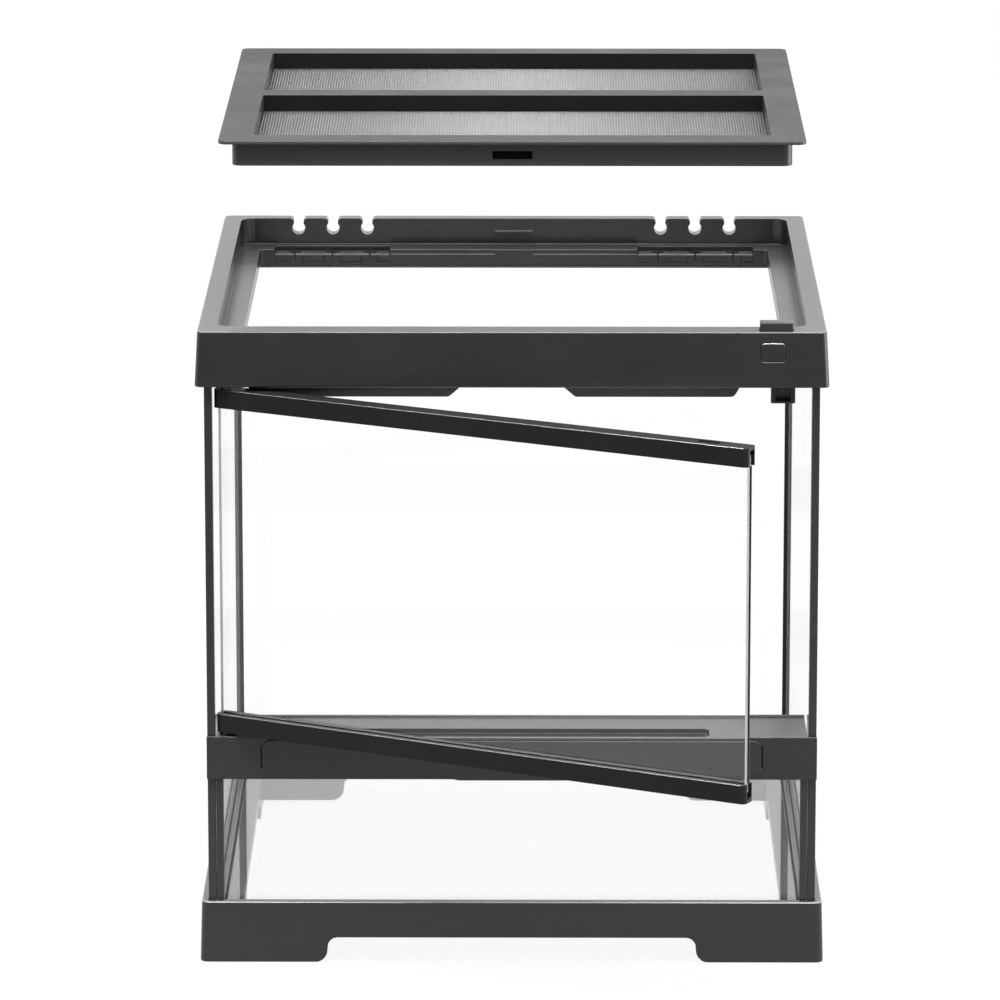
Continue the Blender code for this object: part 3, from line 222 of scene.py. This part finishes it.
# %% [markdown]
# ## The pits and the rounded edges
# The pits are far too small to be made as a mesh, so they only bend the normal. The bevelled normal goes
# into the bump first, so the pits also lie on the rounded edges.

# %% Pits on a rounded edge
PIT_HEIGHT = 0.00006        # metres, at full grain depth
BEVEL_SAMPLES = 6

place = add_node(GRAIN_AND_HIGHLIGHT, "ShaderNodeTexCoord", (-900, 0))
pits = add_node(GRAIN_AND_HIGHLIGHT, "ShaderNodeTexNoise", (-650, -300), Detail=2, Roughness=0.6)
link(GRAIN_AND_HIGHLIGHT, place.outputs["Object"], pits.inputs["Vector"])
link(GRAIN_AND_HIGHLIGHT, given.outputs["Grain Size"], pits.inputs["Scale"])
edge = add_node(GRAIN_AND_HIGHLIGHT, "ShaderNodeBevel", (-650, -600))
edge.samples = BEVEL_SAMPLES
link(GRAIN_AND_HIGHLIGHT, given.outputs["Edge Radius"], edge.inputs["Radius"])
bump = add_node(GRAIN_AND_HIGHLIGHT, "ShaderNodeBump", (-300, -300), Distance=PIT_HEIGHT)
link(GRAIN_AND_HIGHLIGHT, given.outputs["Grain Depth"], bump.inputs["Strength"])
link(GRAIN_AND_HIGHLIGHT, pits.outputs["Fac"], bump.inputs["Height"])
link(GRAIN_AND_HIGHLIGHT, edge.outputs["Normal"], bump.inputs["Normal"])
link(GRAIN_AND_HIGHLIGHT, bump.outputs["Normal"], out.inputs["Normal"])
print("pits of", PIT_HEIGHT * 1e6, "micrometres on edges with", edge.samples, "samples")

# %% [markdown]
# ## The marks of cooling
# Plastic shrinks unevenly as it cools, which shows as broad, faint clouds in tone and in gloss. One noise
# drives both, so a duller place is also a slightly paler one. The noise swings a value round its middle, by
# the share that the material asks for.

# %% Broad clouds in tone and gloss
CLOUD_SCALE = 22            # clouds to a metre, roughly
CLOUD_LOW, CLOUD_HIGH = 0.3, 0.7        # where most of the noise's values lie

cooling = add_node(GRAIN_AND_HIGHLIGHT, "ShaderNodeTexNoise", (-650, 200), Scale=CLOUD_SCALE, Detail=3, Roughness=0.55)
link(GRAIN_AND_HIGHLIGHT, place.outputs["Object"], cooling.inputs["Vector"])
clouds = add_node(GRAIN_AND_HIGHLIGHT, "ShaderNodeMapRange", (-450, 200), From_Min=CLOUD_LOW, From_Max=CLOUD_HIGH,
                  To_Min=-1, To_Max=1)
link(GRAIN_AND_HIGHLIGHT, cooling.outputs["Fac"], clouds.inputs["Value"])


def swing(amount, middle):
    """The middle value, times 1 plus or minus the amount."""
    share = calculate(GRAIN_AND_HIGHLIGHT, "MULTIPLY_ADD", clouds.outputs["Result"], given.outputs[amount], 1)
    return calculate(GRAIN_AND_HIGHLIGHT, "MULTIPLY", share, given.outputs[middle])


clouded_tone = swing("Mottle", "Tone")
link(GRAIN_AND_HIGHLIGHT, swing("Gloss Change", "Gloss"), out.inputs["Roughness"])
print("clouds:", CLOUD_SCALE, "to a metre")

# %% [markdown]
# ## The painted highlight on the edges
# A thin bright line runs along the edges that face up and forwards, where the plastic mirrors the lamp above
# it. The group strengthens that line with a painted highlight. Such an edge could be cut out as faces of its
# own, but it is under a millimetre wide. It is found by the height of the rounded normal instead, which is 0
# on a wall and 1 on a flat top. Where that lies half-way, the group turns the plastic metallic and paler by
# the share that the material asks for, which paints the highlight.

# %% Painted highlight on the edges that face up
EDGE_SLOPE = 0.68           # the rounded normal's height half-way round an edge
EDGE_SPREAD = 0.36          # the painted highlight has gone this far to either side of it
EDGE_FULL = EDGE_SPREAD / 3             # and is whole up to here
PAINTED_HIGHLIGHT_TONE = 0.6             # how pale the painted highlight makes an edge at its fullest

slope = add_node(GRAIN_AND_HIGHLIGHT, "ShaderNodeSeparateXYZ", (-650, 600))
link(GRAIN_AND_HIGHLIGHT, edge.outputs["Normal"], slope.inputs["Vector"])
off = calculate(GRAIN_AND_HIGHLIGHT, "ABSOLUTE", calculate(GRAIN_AND_HIGHLIGHT, "SUBTRACT", slope.outputs["Z"], EDGE_SLOPE))
highlight_band = add_node(GRAIN_AND_HIGHLIGHT, "ShaderNodeMapRange", (-300, 600), From_Min=EDGE_FULL, From_Max=EDGE_SPREAD,
                  To_Min=1, To_Max=0)
link(GRAIN_AND_HIGHLIGHT, off, highlight_band.inputs["Value"])
# The painted highlight: the edge mask times the material's share, fed to Metallic here and, made paler, to
# the colour below.
painted_highlight = calculate(GRAIN_AND_HIGHLIGHT, "MULTIPLY", highlight_band.outputs["Result"], given.outputs["Edge Shine"])
link(GRAIN_AND_HIGHLIGHT, painted_highlight, out.inputs["Metallic"])
lift = calculate(GRAIN_AND_HIGHLIGHT, "MULTIPLY", painted_highlight, PAINTED_HIGHLIGHT_TONE)
link(GRAIN_AND_HIGHLIGHT, calculate(GRAIN_AND_HIGHLIGHT, "ADD", lift, clouded_tone), out.inputs["Color"])
print("edges shine where the normal's height is", EDGE_SLOPE, "give or take", EDGE_SPREAD)

# %% [markdown]
# ## The plastics
# The real frames are one dark neutral grey that looks almost black where it faces the viewer and a mid grey
# where it is seen at a flat angle, because satin plastic reflects the white room there. So the tones below
# are all dark, and the differences are in the gloss and in how much a surface mirrors, which is its index
# of refraction: low for the lid's rough flange, the inner walls and the door's rails, which throw little of
# the room back. The cable gates are a softer, duller plastic.

# %% Plastic materials
def plastic(name, ior, **values):
    made, tree, shader = new_material(name)
    shader.inputs["IOR"].default_value = ior
    grain = add_node(tree, "ShaderNodeGroup", (-300, 0))
    grain.node_tree = GRAIN_AND_HIGHLIGHT
    for title, value in values.items():
        grain.inputs[title.replace("_", " ")].default_value = value
    for title, kind in GRAIN_OUTPUTS:
        link(tree, grain.outputs[title], shader.inputs["Base Color" if title == "Color" else title])
    return made


# The edge value of each plastic below is how strong its painted highlight along the up-facing edges is:
# strongest on the door's rails and the button, less on the base, faint on the frames.
FRAME_PLASTIC = plastic("satin_frame_plastic", 1.5, Tone=0.015, Gloss=0.24, Edge_Radius=0.0007,
                        Edge_Shine=0.18)
BASE_PLASTIC = plastic("satin_base_plastic", 1.5, Tone=0.015, Gloss=0.24, Edge_Radius=0.0007, Edge_Shine=0.5)
POST_PLASTIC = plastic("extruded_post_plastic", 1.5, Tone=0.020, Gloss=0.22, Edge_Radius=0.0008)
BUTTON_PLASTIC = plastic("button_plastic_painted_highlight", 1.5, Tone=0.014, Gloss=0.22, Edge_Radius=0.0009,
                         Edge_Shine=0.8)
# The lid's sides are about three times as pale as the frames: painted light against the shade under the
# flange.
LID_SIDE_PAINTED_LIGHT = plastic("satin_lid_side_painted_light", 1.5, Tone=0.046, Gloss=0.22, Edge_Radius=0.0008)
LID_PLASTIC = plastic("cloudy_lid_plastic", 1.15, Tone=0.012, Mottle=0.3, Gloss=0.34, Gloss_Change=0.3)
# Painted shade: a darker, duller plastic for the walls and the grille that lie in shade.
PAINTED_SHADE_PLASTIC = plastic("painted_shade_inner_wall", 1.2, Tone=0.007, Gloss=0.4)
RAIL_PLASTIC = plastic("dark_rail_plastic", 1.24, Tone=0.014, Gloss=0.2, Edge_Radius=0.0008, Edge_Shine=1.0)
RAIL_TOP_PLASTIC = plastic("dark_rail_top", 1.24, Tone=0.018, Gloss=0.24, Edge_Radius=0.0004)
GATE_PLASTIC = plastic("soft_gate_plastic", 1.5, Tone=0.022, Gloss=0.45, Edge_Radius=0.0003)
PLASTICS = (FRAME_PLASTIC, BASE_PLASTIC, POST_PLASTIC, BUTTON_PLASTIC, LID_SIDE_PAINTED_LIGHT, LID_PLASTIC,
            PAINTED_SHADE_PLASTIC, RAIL_PLASTIC, RAIL_TOP_PLASTIC, GATE_PLASTIC)
print("plastics:", [made.name for made in PLASTICS])

# %% [markdown]
# ## The glass
# The panes are 4 mm float glass, so nearly all the light goes straight through and a little is mirrored at
# a flat angle. A transparent shader on a thin sheet would render faster, but the solid panes have real
# thickness, so a plain transmitting shader gives the mirroring at both faces and the shift of what is seen
# through them. A very faint cloud in the tint stands for wiping marks.

# %% Glass material
GLASS_IOR = 1.42            # under bare glass's 1.5, so that the panes mirror no more white than in the photo
WIPE_SCALE = 14
TINT_LOW = (0.986, 0.990, 0.988)
TINT_HIGH = (0.996, 0.999, 0.997)


def clear_glass():
    made, tree, shader = new_material("clear_float_glass")
    shader.inputs["Transmission Weight"].default_value = 1
    shader.inputs["IOR"].default_value = GLASS_IOR
    shader.inputs["Roughness"].default_value = 0
    wiping = surface_noise(tree, Scale=WIPE_SCALE, Detail=4, Roughness=0.6)
    colour_ramp(tree, wiping, shader, TINT_LOW, TINT_HIGH)
    return made


GLASS = clear_glass()
print("glass:", GLASS.name, "with an index of refraction of", GLASS_IOR)

# %% [markdown]
# ## The cut edges of the glass
# The edges of the panes are ground, so they scatter light and look pale beside the clear faces, with a
# trace of green. They could be roughened by small facets in the mesh. A fine noise in tone and in roughness
# looks the same from any distance at which the tank is seen, and needs no more faces.

# %% Ground edge material
GRIND_SCALE = 1500
GRIND_LOW = (0.44, 0.46, 0.45)
GRIND_HIGH = (0.58, 0.60, 0.59)
GRIND_FINE, GRIND_COARSE = 0.35, 0.6    # roughness from place to place
EDGE_CLEARNESS = 0.35       # the share of light that a ground edge still lets in
EDGE_IOR = 1.5


def ground_edge(name):
    made, tree, shader = new_material(name)
    shader.inputs["Transmission Weight"].default_value = EDGE_CLEARNESS
    shader.inputs["IOR"].default_value = EDGE_IOR
    grind = surface_noise(tree, Scale=GRIND_SCALE, Detail=2, Roughness=0.6)
    colour_ramp(tree, grind, shader, GRIND_LOW, GRIND_HIGH)
    rough_from(tree, grind, shader, GRIND_FINE, GRIND_COARSE)
    return made


GLASS_EDGE = ground_edge("ground_glass_edge")
print("edge:", GLASS_EDGE.name)

# %% [markdown]
# ## Bright wire
# The hinge pins and the screens are steel, and drawing leaves fine lines along a wire. They are a noise
# that is stretched along the wire: many changes to a metre across it, and few along it. The screens' wire
# is so thin that its noise can be the same in all directions.

# %% Steel material
STEEL_DULL = 0.86           # a line's tone beside the bare metal's
STEEL_BLUE = 1.01           # steel is very slightly blue
STEEL_SWING = 0.2           # how far a line's roughness lies from the wire's own, as a share of it


def drawn_steel(name, tone, roughness, stretch):
    made, tree, shader = new_material(name)
    shader.inputs["Metallic"].default_value = 1
    place = add_node(tree, "ShaderNodeTexCoord", (-1100, 0))
    draw = add_node(tree, "ShaderNodeMapping", (-900, 0), Scale=stretch)
    link(tree, place.outputs["Object"], draw.inputs["Vector"])
    lines = surface_noise(tree, draw.outputs["Vector"], Scale=1, Detail=3, Roughness=0.6)
    dull = tone * STEEL_DULL
    colour_ramp(tree, lines, shader, (dull, dull, dull * STEEL_BLUE), (tone, tone, tone * STEEL_BLUE))
    rough_from(tree, lines, shader, roughness * (1 - STEEL_SWING), roughness * (1 + STEEL_SWING))
    return made


PIN_STEEL = drawn_steel("drawn_pin_steel", 0.55, 0.3, (900, 900, 40))
SCREEN_STEEL = drawn_steel("bright_screen_wire", 0.25, 0.6, (60, 60, 60))
print("steels:", PIN_STEEL.name, SCREEN_STEEL.name)

# %% [markdown]
# ## Dressing the frame's own pieces
# The rigid pieces keep the shapes that the frame gives them, and the record says which family of material
# each one is made of. So the first round gives every piece the material of its family.

# %% Give each node its material
SLOT_MATERIALS = {
    "frame_plastic": FRAME_PLASTIC,
    "dark_plastic": RAIL_PLASTIC,
    "soft_insert": GATE_PLASTIC,
    "clear_glass": GLASS,
    "steel": PIN_STEEL,
}
PARTS = frame["record"]["subparts"]
for part in PARTS:
    materials = NODES[part["node"]].data.materials
    materials.clear()
    materials.append(SLOT_MATERIALS[part["material_slot"]])
print("dressed", len(PARTS), "nodes")

# %% [markdown]
# ## A second material on some faces
# A moulded piece isn't the same all over: its top, its inner walls and its cut edges have finishes of their
# own. The mesh stays one piece, and only the number of the material changes, face by face. This helper adds
# the material and gives it to the faces that a test picks.

# %% Helper for faces with a finish of their own
SQUARE_ON = 0.9             # a normal's share along an axis, from which a face counts as facing that way


def dress_faces(name, material, picks):
    """Puts one more material on the faces for which picks(face) is true. Gives their number."""
    data = NODES[name].data
    data.materials.append(material)
    picked = [face for face in data.polygons if picks(face)]
    for face in picked:
        face.material_index = len(data.materials) - 1
    return len(picked)


print("a face points along an axis from", SQUARE_ON, "of its normal's length")

# %% [markdown]
# ## Which faces of a pane are its cut edges
# A pane's two clear faces are the largest of its mesh, so the largest face tells which way the pane looks.
# Every face that looks another way belongs to the ground edge.

# %% Ground edges on the panes
def cut_edge_of(name):
    """A test that is true on the faces that don't look the way that the pane's largest face does."""
    widest = max(NODES[name].data.polygons, key=lambda face: face.area)
    broad = widest.normal.copy()
    return lambda face: abs(face.normal.dot(broad)) <= SQUARE_ON


PANES = [part["node"] for part in PARTS if part["material_slot"] == "clear_glass"]
for name in PANES:
    print(name, dress_faces(name, GLASS_EDGE, cut_edge_of(name)), "faces of ground edge")

# %% [markdown]
# ## Pieces with a plastic of their own
# Within a family some pieces are finished otherwise. The base has a stronger painted highlight along its
# edges than the frames above it, the button a stronger one still, and the posts, the channels and the latch
# are a shade paler than the door's rails. The lid's sides are paler than the frames, which is painted light.
# The vent grille lies deep in its trough and takes the darker plastic of painted shade.

# %% Plastics piece by piece
OWN_PLASTICS = {
    "base_frame": BASE_PLASTIC,
    "lid_frame": LID_SIDE_PAINTED_LIGHT,
    "latch_button": BUTTON_PLASTIC,
    "latch_bolt": POST_PLASTIC,
    "latch_bracket": POST_PLASTIC,
    "post_front_left": POST_PLASTIC,
    "post_front_right": POST_PLASTIC,
    "low_channel_left": POST_PLASTIC,
    "low_channel_right": POST_PLASTIC,
    "post_back_left": RAIL_TOP_PLASTIC,
    "post_back_right": RAIL_TOP_PLASTIC,
    "vent_grille": PAINTED_SHADE_PLASTIC,
}
for name, material in OWN_PLASTICS.items():
    NODES[name].data.materials[0] = material
print("changed", len(OWN_PLASTICS), "pieces")

# %% [markdown]
# ## Painted shade on the walls inside the openings
# The walls of the lid's windows and of the vent trough that look at the viewer see only the dark inside of
# the piece, and in the photograph they are nearly black. More shadow would need light that a plain studio
# doesn't have, so they take a darker, duller plastic: painted shade. The vent grille in the trough takes it
# too. The piece's outer front looks the same way, and is left out by its place.

# %% Inner walls of the lid and of the middle rail
LID_RIM = 0.012             # the lid's skirt lies within this of its outer edge
TROUGH_RIM = 0.004          # and the middle rail's front and back within this


def inner_wall_of(name, rim):
    """A test that is true on the faces that look forwards and lie further in than the rim."""
    low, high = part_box(name)
    world = NODES[name].matrix_world

    def picks(face):
        return low.y + rim < (world @ face.center).y < high.y - rim and face.normal.y < -SQUARE_ON

    return picks


# These inner faces take the painted shade plastic.
for name, rim in (("lid_frame", LID_RIM), ("mid_rail", TROUGH_RIM)):
    print(name, dress_faces(name, PAINTED_SHADE_PLASTIC, inner_wall_of(name, rim)), "dark inner faces")

# %% [markdown]
# ## The lid's cloudy top
# The lid's flange is dull on top and mirrors the room in soft clouds, while its skirt is as satin as the
# frames, with a paler tone that is painted light against the shade under the flange. The faces that look up
# are picked by their normals.

# %% Top faces of the lid
lid_tops = dress_faces("lid_frame", LID_PLASTIC, lambda face: face.normal.z > SQUARE_ON)
print("lid_frame", lid_tops, "cloudy top faces")

# %% [markdown]
# ## The door's rails
# Only the long front and back faces of a rail carry the painted highlight that shows as a bright line above
# the rail. Its top, its ends and the small faces round the latch's keep are plain.

# %% Plain faces of the door's rails
RAIL_FACE_AREA = 0.0005     # square metres: only a rail's long front and back faces are larger
UPRIGHT = 0.1               # a normal's height, under which a face counts as upright


def plain_on_rail(face):
    return face.area <= RAIL_FACE_AREA or abs(face.normal.z) >= UPRIGHT


for name in ("door_top_rail", "door_bottom_rail"):
    print(name, dress_faces(name, RAIL_TOP_PLASTIC, plain_on_rail), "plain faces")

# %% [markdown]
# ## The way the door's pane lies
# The door stands ajar, so a piece that is fixed to it has to be turned as it is. The largest face of the
# pane looks across it, and the angle of that face is the door's.

# %% The door's turn
pane_face = max(NODES["door_glass"].data.polygons, key=lambda face: face.area)
across_pane = NODES["door_glass"].matrix_world.to_3x3() @ pane_face.normal
DOOR_TURN = math.atan2(-abs(across_pane.x), abs(across_pane.y))
print("door turned", round(math.degrees(DOOR_TURN), 1), "degrees")

# %% [markdown]
# ## Painted shade on the door's free edge
# The door's free edge meets the right post. A thin dark strip along the inner corner of that edge paints the
# dark line that the glass's edge shows there, where it mirrors its dark surroundings: painted shade. It is a
# piece of its own here, as long as the pane between its two rails, and it turns with the door.

# %% Painted shade strip on the door's free edge
STRIP_WIDE = 0.0010
STRIP_DEEP = 0.0006


# A dark piece that paints the shade along the door glass's free edge.
def painted_shade_strip():
    pane = NODES["door_glass"]
    points = [pane.matrix_world @ corner.co for corner in pane.data.vertices]
    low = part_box("door_bottom_rail")[1].z
    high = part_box("door_top_rail")[0].z
    along = Vector((math.cos(DOOR_TURN), math.sin(DOOR_TURN), 0))
    inward = Vector((-along.y, along.x, 0))
    end = max(point.dot(along) for point in points)
    inner = max(point.dot(inward) for point in points)
    middle = along * (end + STRIP_DEEP / 2) + inward * (inner - STRIP_WIDE / 2)
    bpy.ops.mesh.primitive_cube_add(size=1, location=(middle.x, middle.y, (low + high) / 2))
    made = bpy.context.object
    made.name = "door_painted_shade_strip"
    made.scale = (STRIP_DEEP, STRIP_WIDE, high - low)
    made.rotation_euler.z = DOOR_TURN
    made.data.materials.append(RAIL_PLASTIC)
    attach(made, "door")
    return high - low


print("strip", round(painted_shade_strip(), 4), "m long")

# %% [markdown]
# ## The woven screens
# The frame carries each screen as a coarse net, because it only has to be the right size there. The real
# screen is woven from bright wire with a pitch of about 1.4 mm, so that insects can't pass. It could be a
# flat plane with a pattern in its transparency, but that has no thickness at a flat angle, where the wires
# hide each other and the screen turns silver. So every wire is made, as a six-sided rod. The first cell
# makes one.

# %% One straight wire
WIRE = 0.00034
WIRE_SIDES = 6


def add_wire(points, faces, start, end, across):
    """One straight wire as a ring of points at each end, with a cap on each."""
    first = len(points)
    up = Vector((0, 0, 1))
    for place in (start, end):
        for side in range(WIRE_SIDES):
            angle = 2 * math.pi * side / WIRE_SIDES
            points.append(place + (across * math.cos(angle) + up * math.sin(angle)) * WIRE / 2)
    near = [first + side for side in range(WIRE_SIDES)]
    far = [first + WIRE_SIDES + side for side in range(WIRE_SIDES)]
    for side in range(WIRE_SIDES):
        after = (side + 1) % WIRE_SIDES
        faces.append((near[side], near[after], far[after], far[side]))
    faces.append(tuple(reversed(near)))
    faces.append(tuple(far))


print("wire", WIRE * 1000, "mm thick with", WIRE_SIDES, "sides")

# %% [markdown]
# ## Two layers of wires
# In a weave each wire goes over one and under the next. At this size that wave can't be seen, so the wires
# lie in two layers that touch: the cross ones below, and on top those that run from front to back, which
# show as fine lines at a flat angle. All wires of a screen are one mesh, which takes the place of the
# frame's coarse net and lifts with the lid.

# %% Screens made wire by wire
SCREEN_PITCH = 0.0014


def wire_places(low, high):
    """Places one pitch apart, centred between low and high."""
    gaps = int((high - low - WIRE) / SCREEN_PITCH)
    return [(low + high) / 2 + (index - gaps / 2) * SCREEN_PITCH for index in range(gaps + 1)]


def woven_screen(node):
    low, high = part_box(node)
    top = (low.z + high.z) / 2 + WIRE / 2
    under = (low.z + high.z) / 2 - WIRE / 2
    points, faces = [], []
    columns, rows = wire_places(low.x, high.x), wire_places(low.y, high.y)
    for x in columns:
        add_wire(points, faces, Vector((x, low.y, top)), Vector((x, high.y, top)), Vector((-1, 0, 0)))
    for y in rows:
        add_wire(points, faces, Vector((low.x, y, under)), Vector((high.x, y, under)), Vector((0, 1, 0)))
    mesh = bpy.data.meshes.new("woven_" + node)
    mesh.from_pydata(points, [], faces)
    mesh.validate()
    mesh.shade_smooth()
    mesh.materials.append(SCREEN_STEEL)
    made = bpy.data.objects.new("woven_" + node, mesh)
    bpy.context.scene.collection.objects.link(made)
    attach(made, "lid")
    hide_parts(node)
    return len(columns) + len(rows)


for node in ("lid_mesh_front", "lid_mesh_rear"):
    print(node, woven_screen(node), "wires")

# %% [markdown]
# ## The studio
# The object stands on white paper under a large soft sky. To the camera and through glass the background is
# white, and glossy surfaces mirror the same paper and sky. More light would also turn the background white,
# but it would fade the plastic. The Light Path node tells which kind of ray looks, so the whiteness is given
# to those rays alone.

# %% Which rays see the background straight
def seen_straight(tree, path):
    """A value of 1 where the ray comes from the camera or through glass, and 0 elsewhere."""
    return calculate(tree, "MAXIMUM", path.outputs["Is Camera Ray"], path.outputs["Is Transmission Ray"])


print("helper:", seen_straight.__name__)

# %% [markdown]
# ## The sky
# A real product studio is bright behind the object and darker on the viewer's side, where the camera and
# the people stand. The front faces of the frames mirror that darker side. A picture of a studio could do
# this, but one smooth change of brightness from back to front is enough, and has no shapes of its own to be
# mirrored in the glass.

# %% World
BACK_SKY = 1.0              # light from behind the object
FRONT_SKY = 0.3             # light from the viewer's side
FRONT_END, BACK_END = -0.8, 0.4         # the direction's Y where each of the two is reached

world = bpy.data.worlds.new("studio")
bpy.context.scene.world = world
world.use_nodes = True
sky = world.node_tree
sky_colour = sky.nodes["Background"]
sky_colour.inputs["Color"].default_value = (1, 1, 1, 1)
ray_way = add_node(sky, "ShaderNodeTexCoord", (-1000, 0))
parts = add_node(sky, "ShaderNodeSeparateXYZ", (-800, 0))
link(sky, ray_way.outputs["Generated"], parts.inputs["Vector"])
depth = add_node(sky, "ShaderNodeMapRange", (-600, 0), From_Min=FRONT_END, From_Max=BACK_END,
                 To_Min=FRONT_SKY, To_Max=BACK_SKY)
depth.interpolation_type = "SMOOTHSTEP"
link(sky, parts.outputs["Y"], depth.inputs["Value"])
sky_path = add_node(sky, "ShaderNodeLightPath", (-800, 300))
strength = add_node(sky, "ShaderNodeMapRange", (-300, 0), To_Max=1.0)
link(sky, depth.outputs["Result"], strength.inputs["To Min"])
link(sky, seen_straight(sky, sky_path), strength.inputs["Value"])
link(sky, strength.outputs["Result"], sky_colour.inputs["Strength"])
print("sky from", FRONT_SKY, "in front to", BACK_SKY, "behind, and white where it is seen straight")

# %% [markdown]
# ## The paper
# The paper is one large flat sheet. It glows white to the eye and answers a little to the lamps, so it
# takes the object's shadow. The lamps fade with distance, so the glow grows a little there, and the sheet
# looks equally white all over.

# %% Floor with a glow that makes up for the lamps
FLOOR_SIZE = 12.0
FLOOR_DROP = 0.0002         # under the feet, so that the two don't share a plane
PAPER_TONE = 0.045          # the share of the floor's whiteness that answers to the lamps
GLOW_NEAR = 0.92            # the rest of it to the eye, beside the object under the lamps
GLOW_FAR = 0.965            # and where the lamps' light has faded
FADE_FROM, FADE_TO = 0.5, 2.0

bpy.ops.mesh.primitive_plane_add(size=FLOOR_SIZE, location=(TANK_X, TANK_Y, -FLOOR_DROP))
floor = bpy.context.object
floor.name = "studio_floor"
paper, paper_tree, paper_shader = new_material("white_paper")
paper_shader.inputs["Base Color"].default_value = (PAPER_TONE, PAPER_TONE, PAPER_TONE, 1)
paper_shader.inputs["Roughness"].default_value = 0.9
paper_shader.inputs["Specular IOR Level"].default_value = 0
paper_shader.inputs["Emission Color"].default_value = (1, 1, 1, 1)
spot = add_node(paper_tree, "ShaderNodeTexCoord", (-1300, -500))
reach = add_node(paper_tree, "ShaderNodeVectorMath", (-1100, -700))
reach.operation = "LENGTH"
link(paper_tree, spot.outputs["Object"], reach.inputs[0])
fade = add_node(paper_tree, "ShaderNodeMapRange", (-900, -700), From_Min=FADE_FROM, From_Max=FADE_TO,
                To_Min=GLOW_NEAR, To_Max=GLOW_FAR)
link(paper_tree, reach.outputs["Value"], fade.inputs["Value"])
floor.data.materials.append(paper)
print("paper", FLOOR_SIZE, "m wide, glow", GLOW_NEAR, "to", GLOW_FAR)

# %% [markdown]
# ## The paper as mirrors see it
# Towards the viewer the paper ends and the studio is darker. Only mirrors show that: the fronts of the
# frames and the door's glass reflect the floor in front of them, and so the high top frame, which mirrors
# the farthest stretch, looks darker than the low base. Dark cards on the floor would do the same and would
# be seen, so the paper itself is darker to mirroring rays alone.

# %% Darker paper in reflections
DARK_FROM, DARK_TO = -0.30, -1.1        # how far before the tank's middle the mirrored floor darkens
DARK_SHARE = 0.42

ahead = add_node(paper_tree, "ShaderNodeSeparateXYZ", (-1100, -400))
link(paper_tree, spot.outputs["Object"], ahead.inputs["Vector"])
darker = add_node(paper_tree, "ShaderNodeMapRange", (-900, -400), From_Min=DARK_TO, From_Max=DARK_FROM,
                  To_Min=DARK_SHARE, To_Max=1)
link(paper_tree, ahead.outputs["Y"], darker.inputs["Value"])
path = add_node(paper_tree, "ShaderNodeLightPath", (-1100, -100))
mirrored = calculate(paper_tree, "MULTIPLY", path.outputs["Is Glossy Ray"], darker.outputs["Result"])
sight = calculate(paper_tree, "MAXIMUM", mirrored, seen_straight(paper_tree, path))
glow = calculate(paper_tree, "MULTIPLY", sight, fade.outputs["Result"])
link(paper_tree, glow, paper_shader.inputs["Emission Strength"])
print("mirrored paper falls to", DARK_SHARE, "of its glow", -DARK_TO, "m in front")

# %% [markdown]
# ## The lamps
# All five lamps are large soft boxes, because small ones would draw hard shadows and bright dots on the
# plastic. One above and behind lights the tops and draws the bright line along each edge that is rounded
# towards the viewer. One above and in front lights the front faces and the inside. Weak ones to the left
# and right of the camera give the front a little shape, and a low one at the right lights the side pane's
# edges. Neither the camera nor the glass shows the lamps themselves.

# %% Lamps
LAMPS = [       # name, place, width and depth, brightness
    ("above_and_behind", (TANK_X, TANK_Y + 1.15, 1.75), (2.4, 1.4), 5.0),
    ("above_in_front", (TANK_X, FRONT_Y - 0.55, 1.9), (2.0, 0.9), 14.0),
    ("key_left", (TANK_X - 1.8, FRONT_Y - 1.4, 1.6), (1.0, 1.0), 5.0),
    ("strip_right", (TANK_X + 1.1, TANK_Y - 0.1, 0.3), (0.9, 0.6), 3.5),
    ("fill_right", (TANK_X + 1.9, FRONT_Y - 0.9, 1.2), (1.0, 1.0), 5.0),
]
LAMP_AIM = Vector((TANK_X, TANK_Y, 0.2))


def soft_lamp(name, place, size, brightness):
    """An area lamp that looks at the tank. Its power grows with its area, so that its brightness stays."""
    data = bpy.data.lights.new(name, "AREA")
    data.shape = "RECTANGLE"
    data.size, data.size_y = size
    data.energy = brightness * math.pi * size[0] * size[1]
    made = bpy.data.objects.new(name, data)
    bpy.context.scene.collection.objects.link(made)
    made.location = place
    made.rotation_euler = (LAMP_AIM - Vector(place)).to_track_quat("-Z", "Y").to_euler()
    made.visible_camera = False
    made.visible_transmission = False
    return data.energy


for lamp in LAMPS:
    print(lamp[0], round(soft_lamp(*lamp), 1), "W")

# %% [markdown]
# ## Colours as they are written
# Blender's usual view softens bright places and would turn the white paper grey. The Standard view shows
# each colour as the lights make it.

# %% Standard view
bpy.context.scene.view_settings.view_transform = "Standard"
print("view:", bpy.context.scene.view_settings.view_transform)
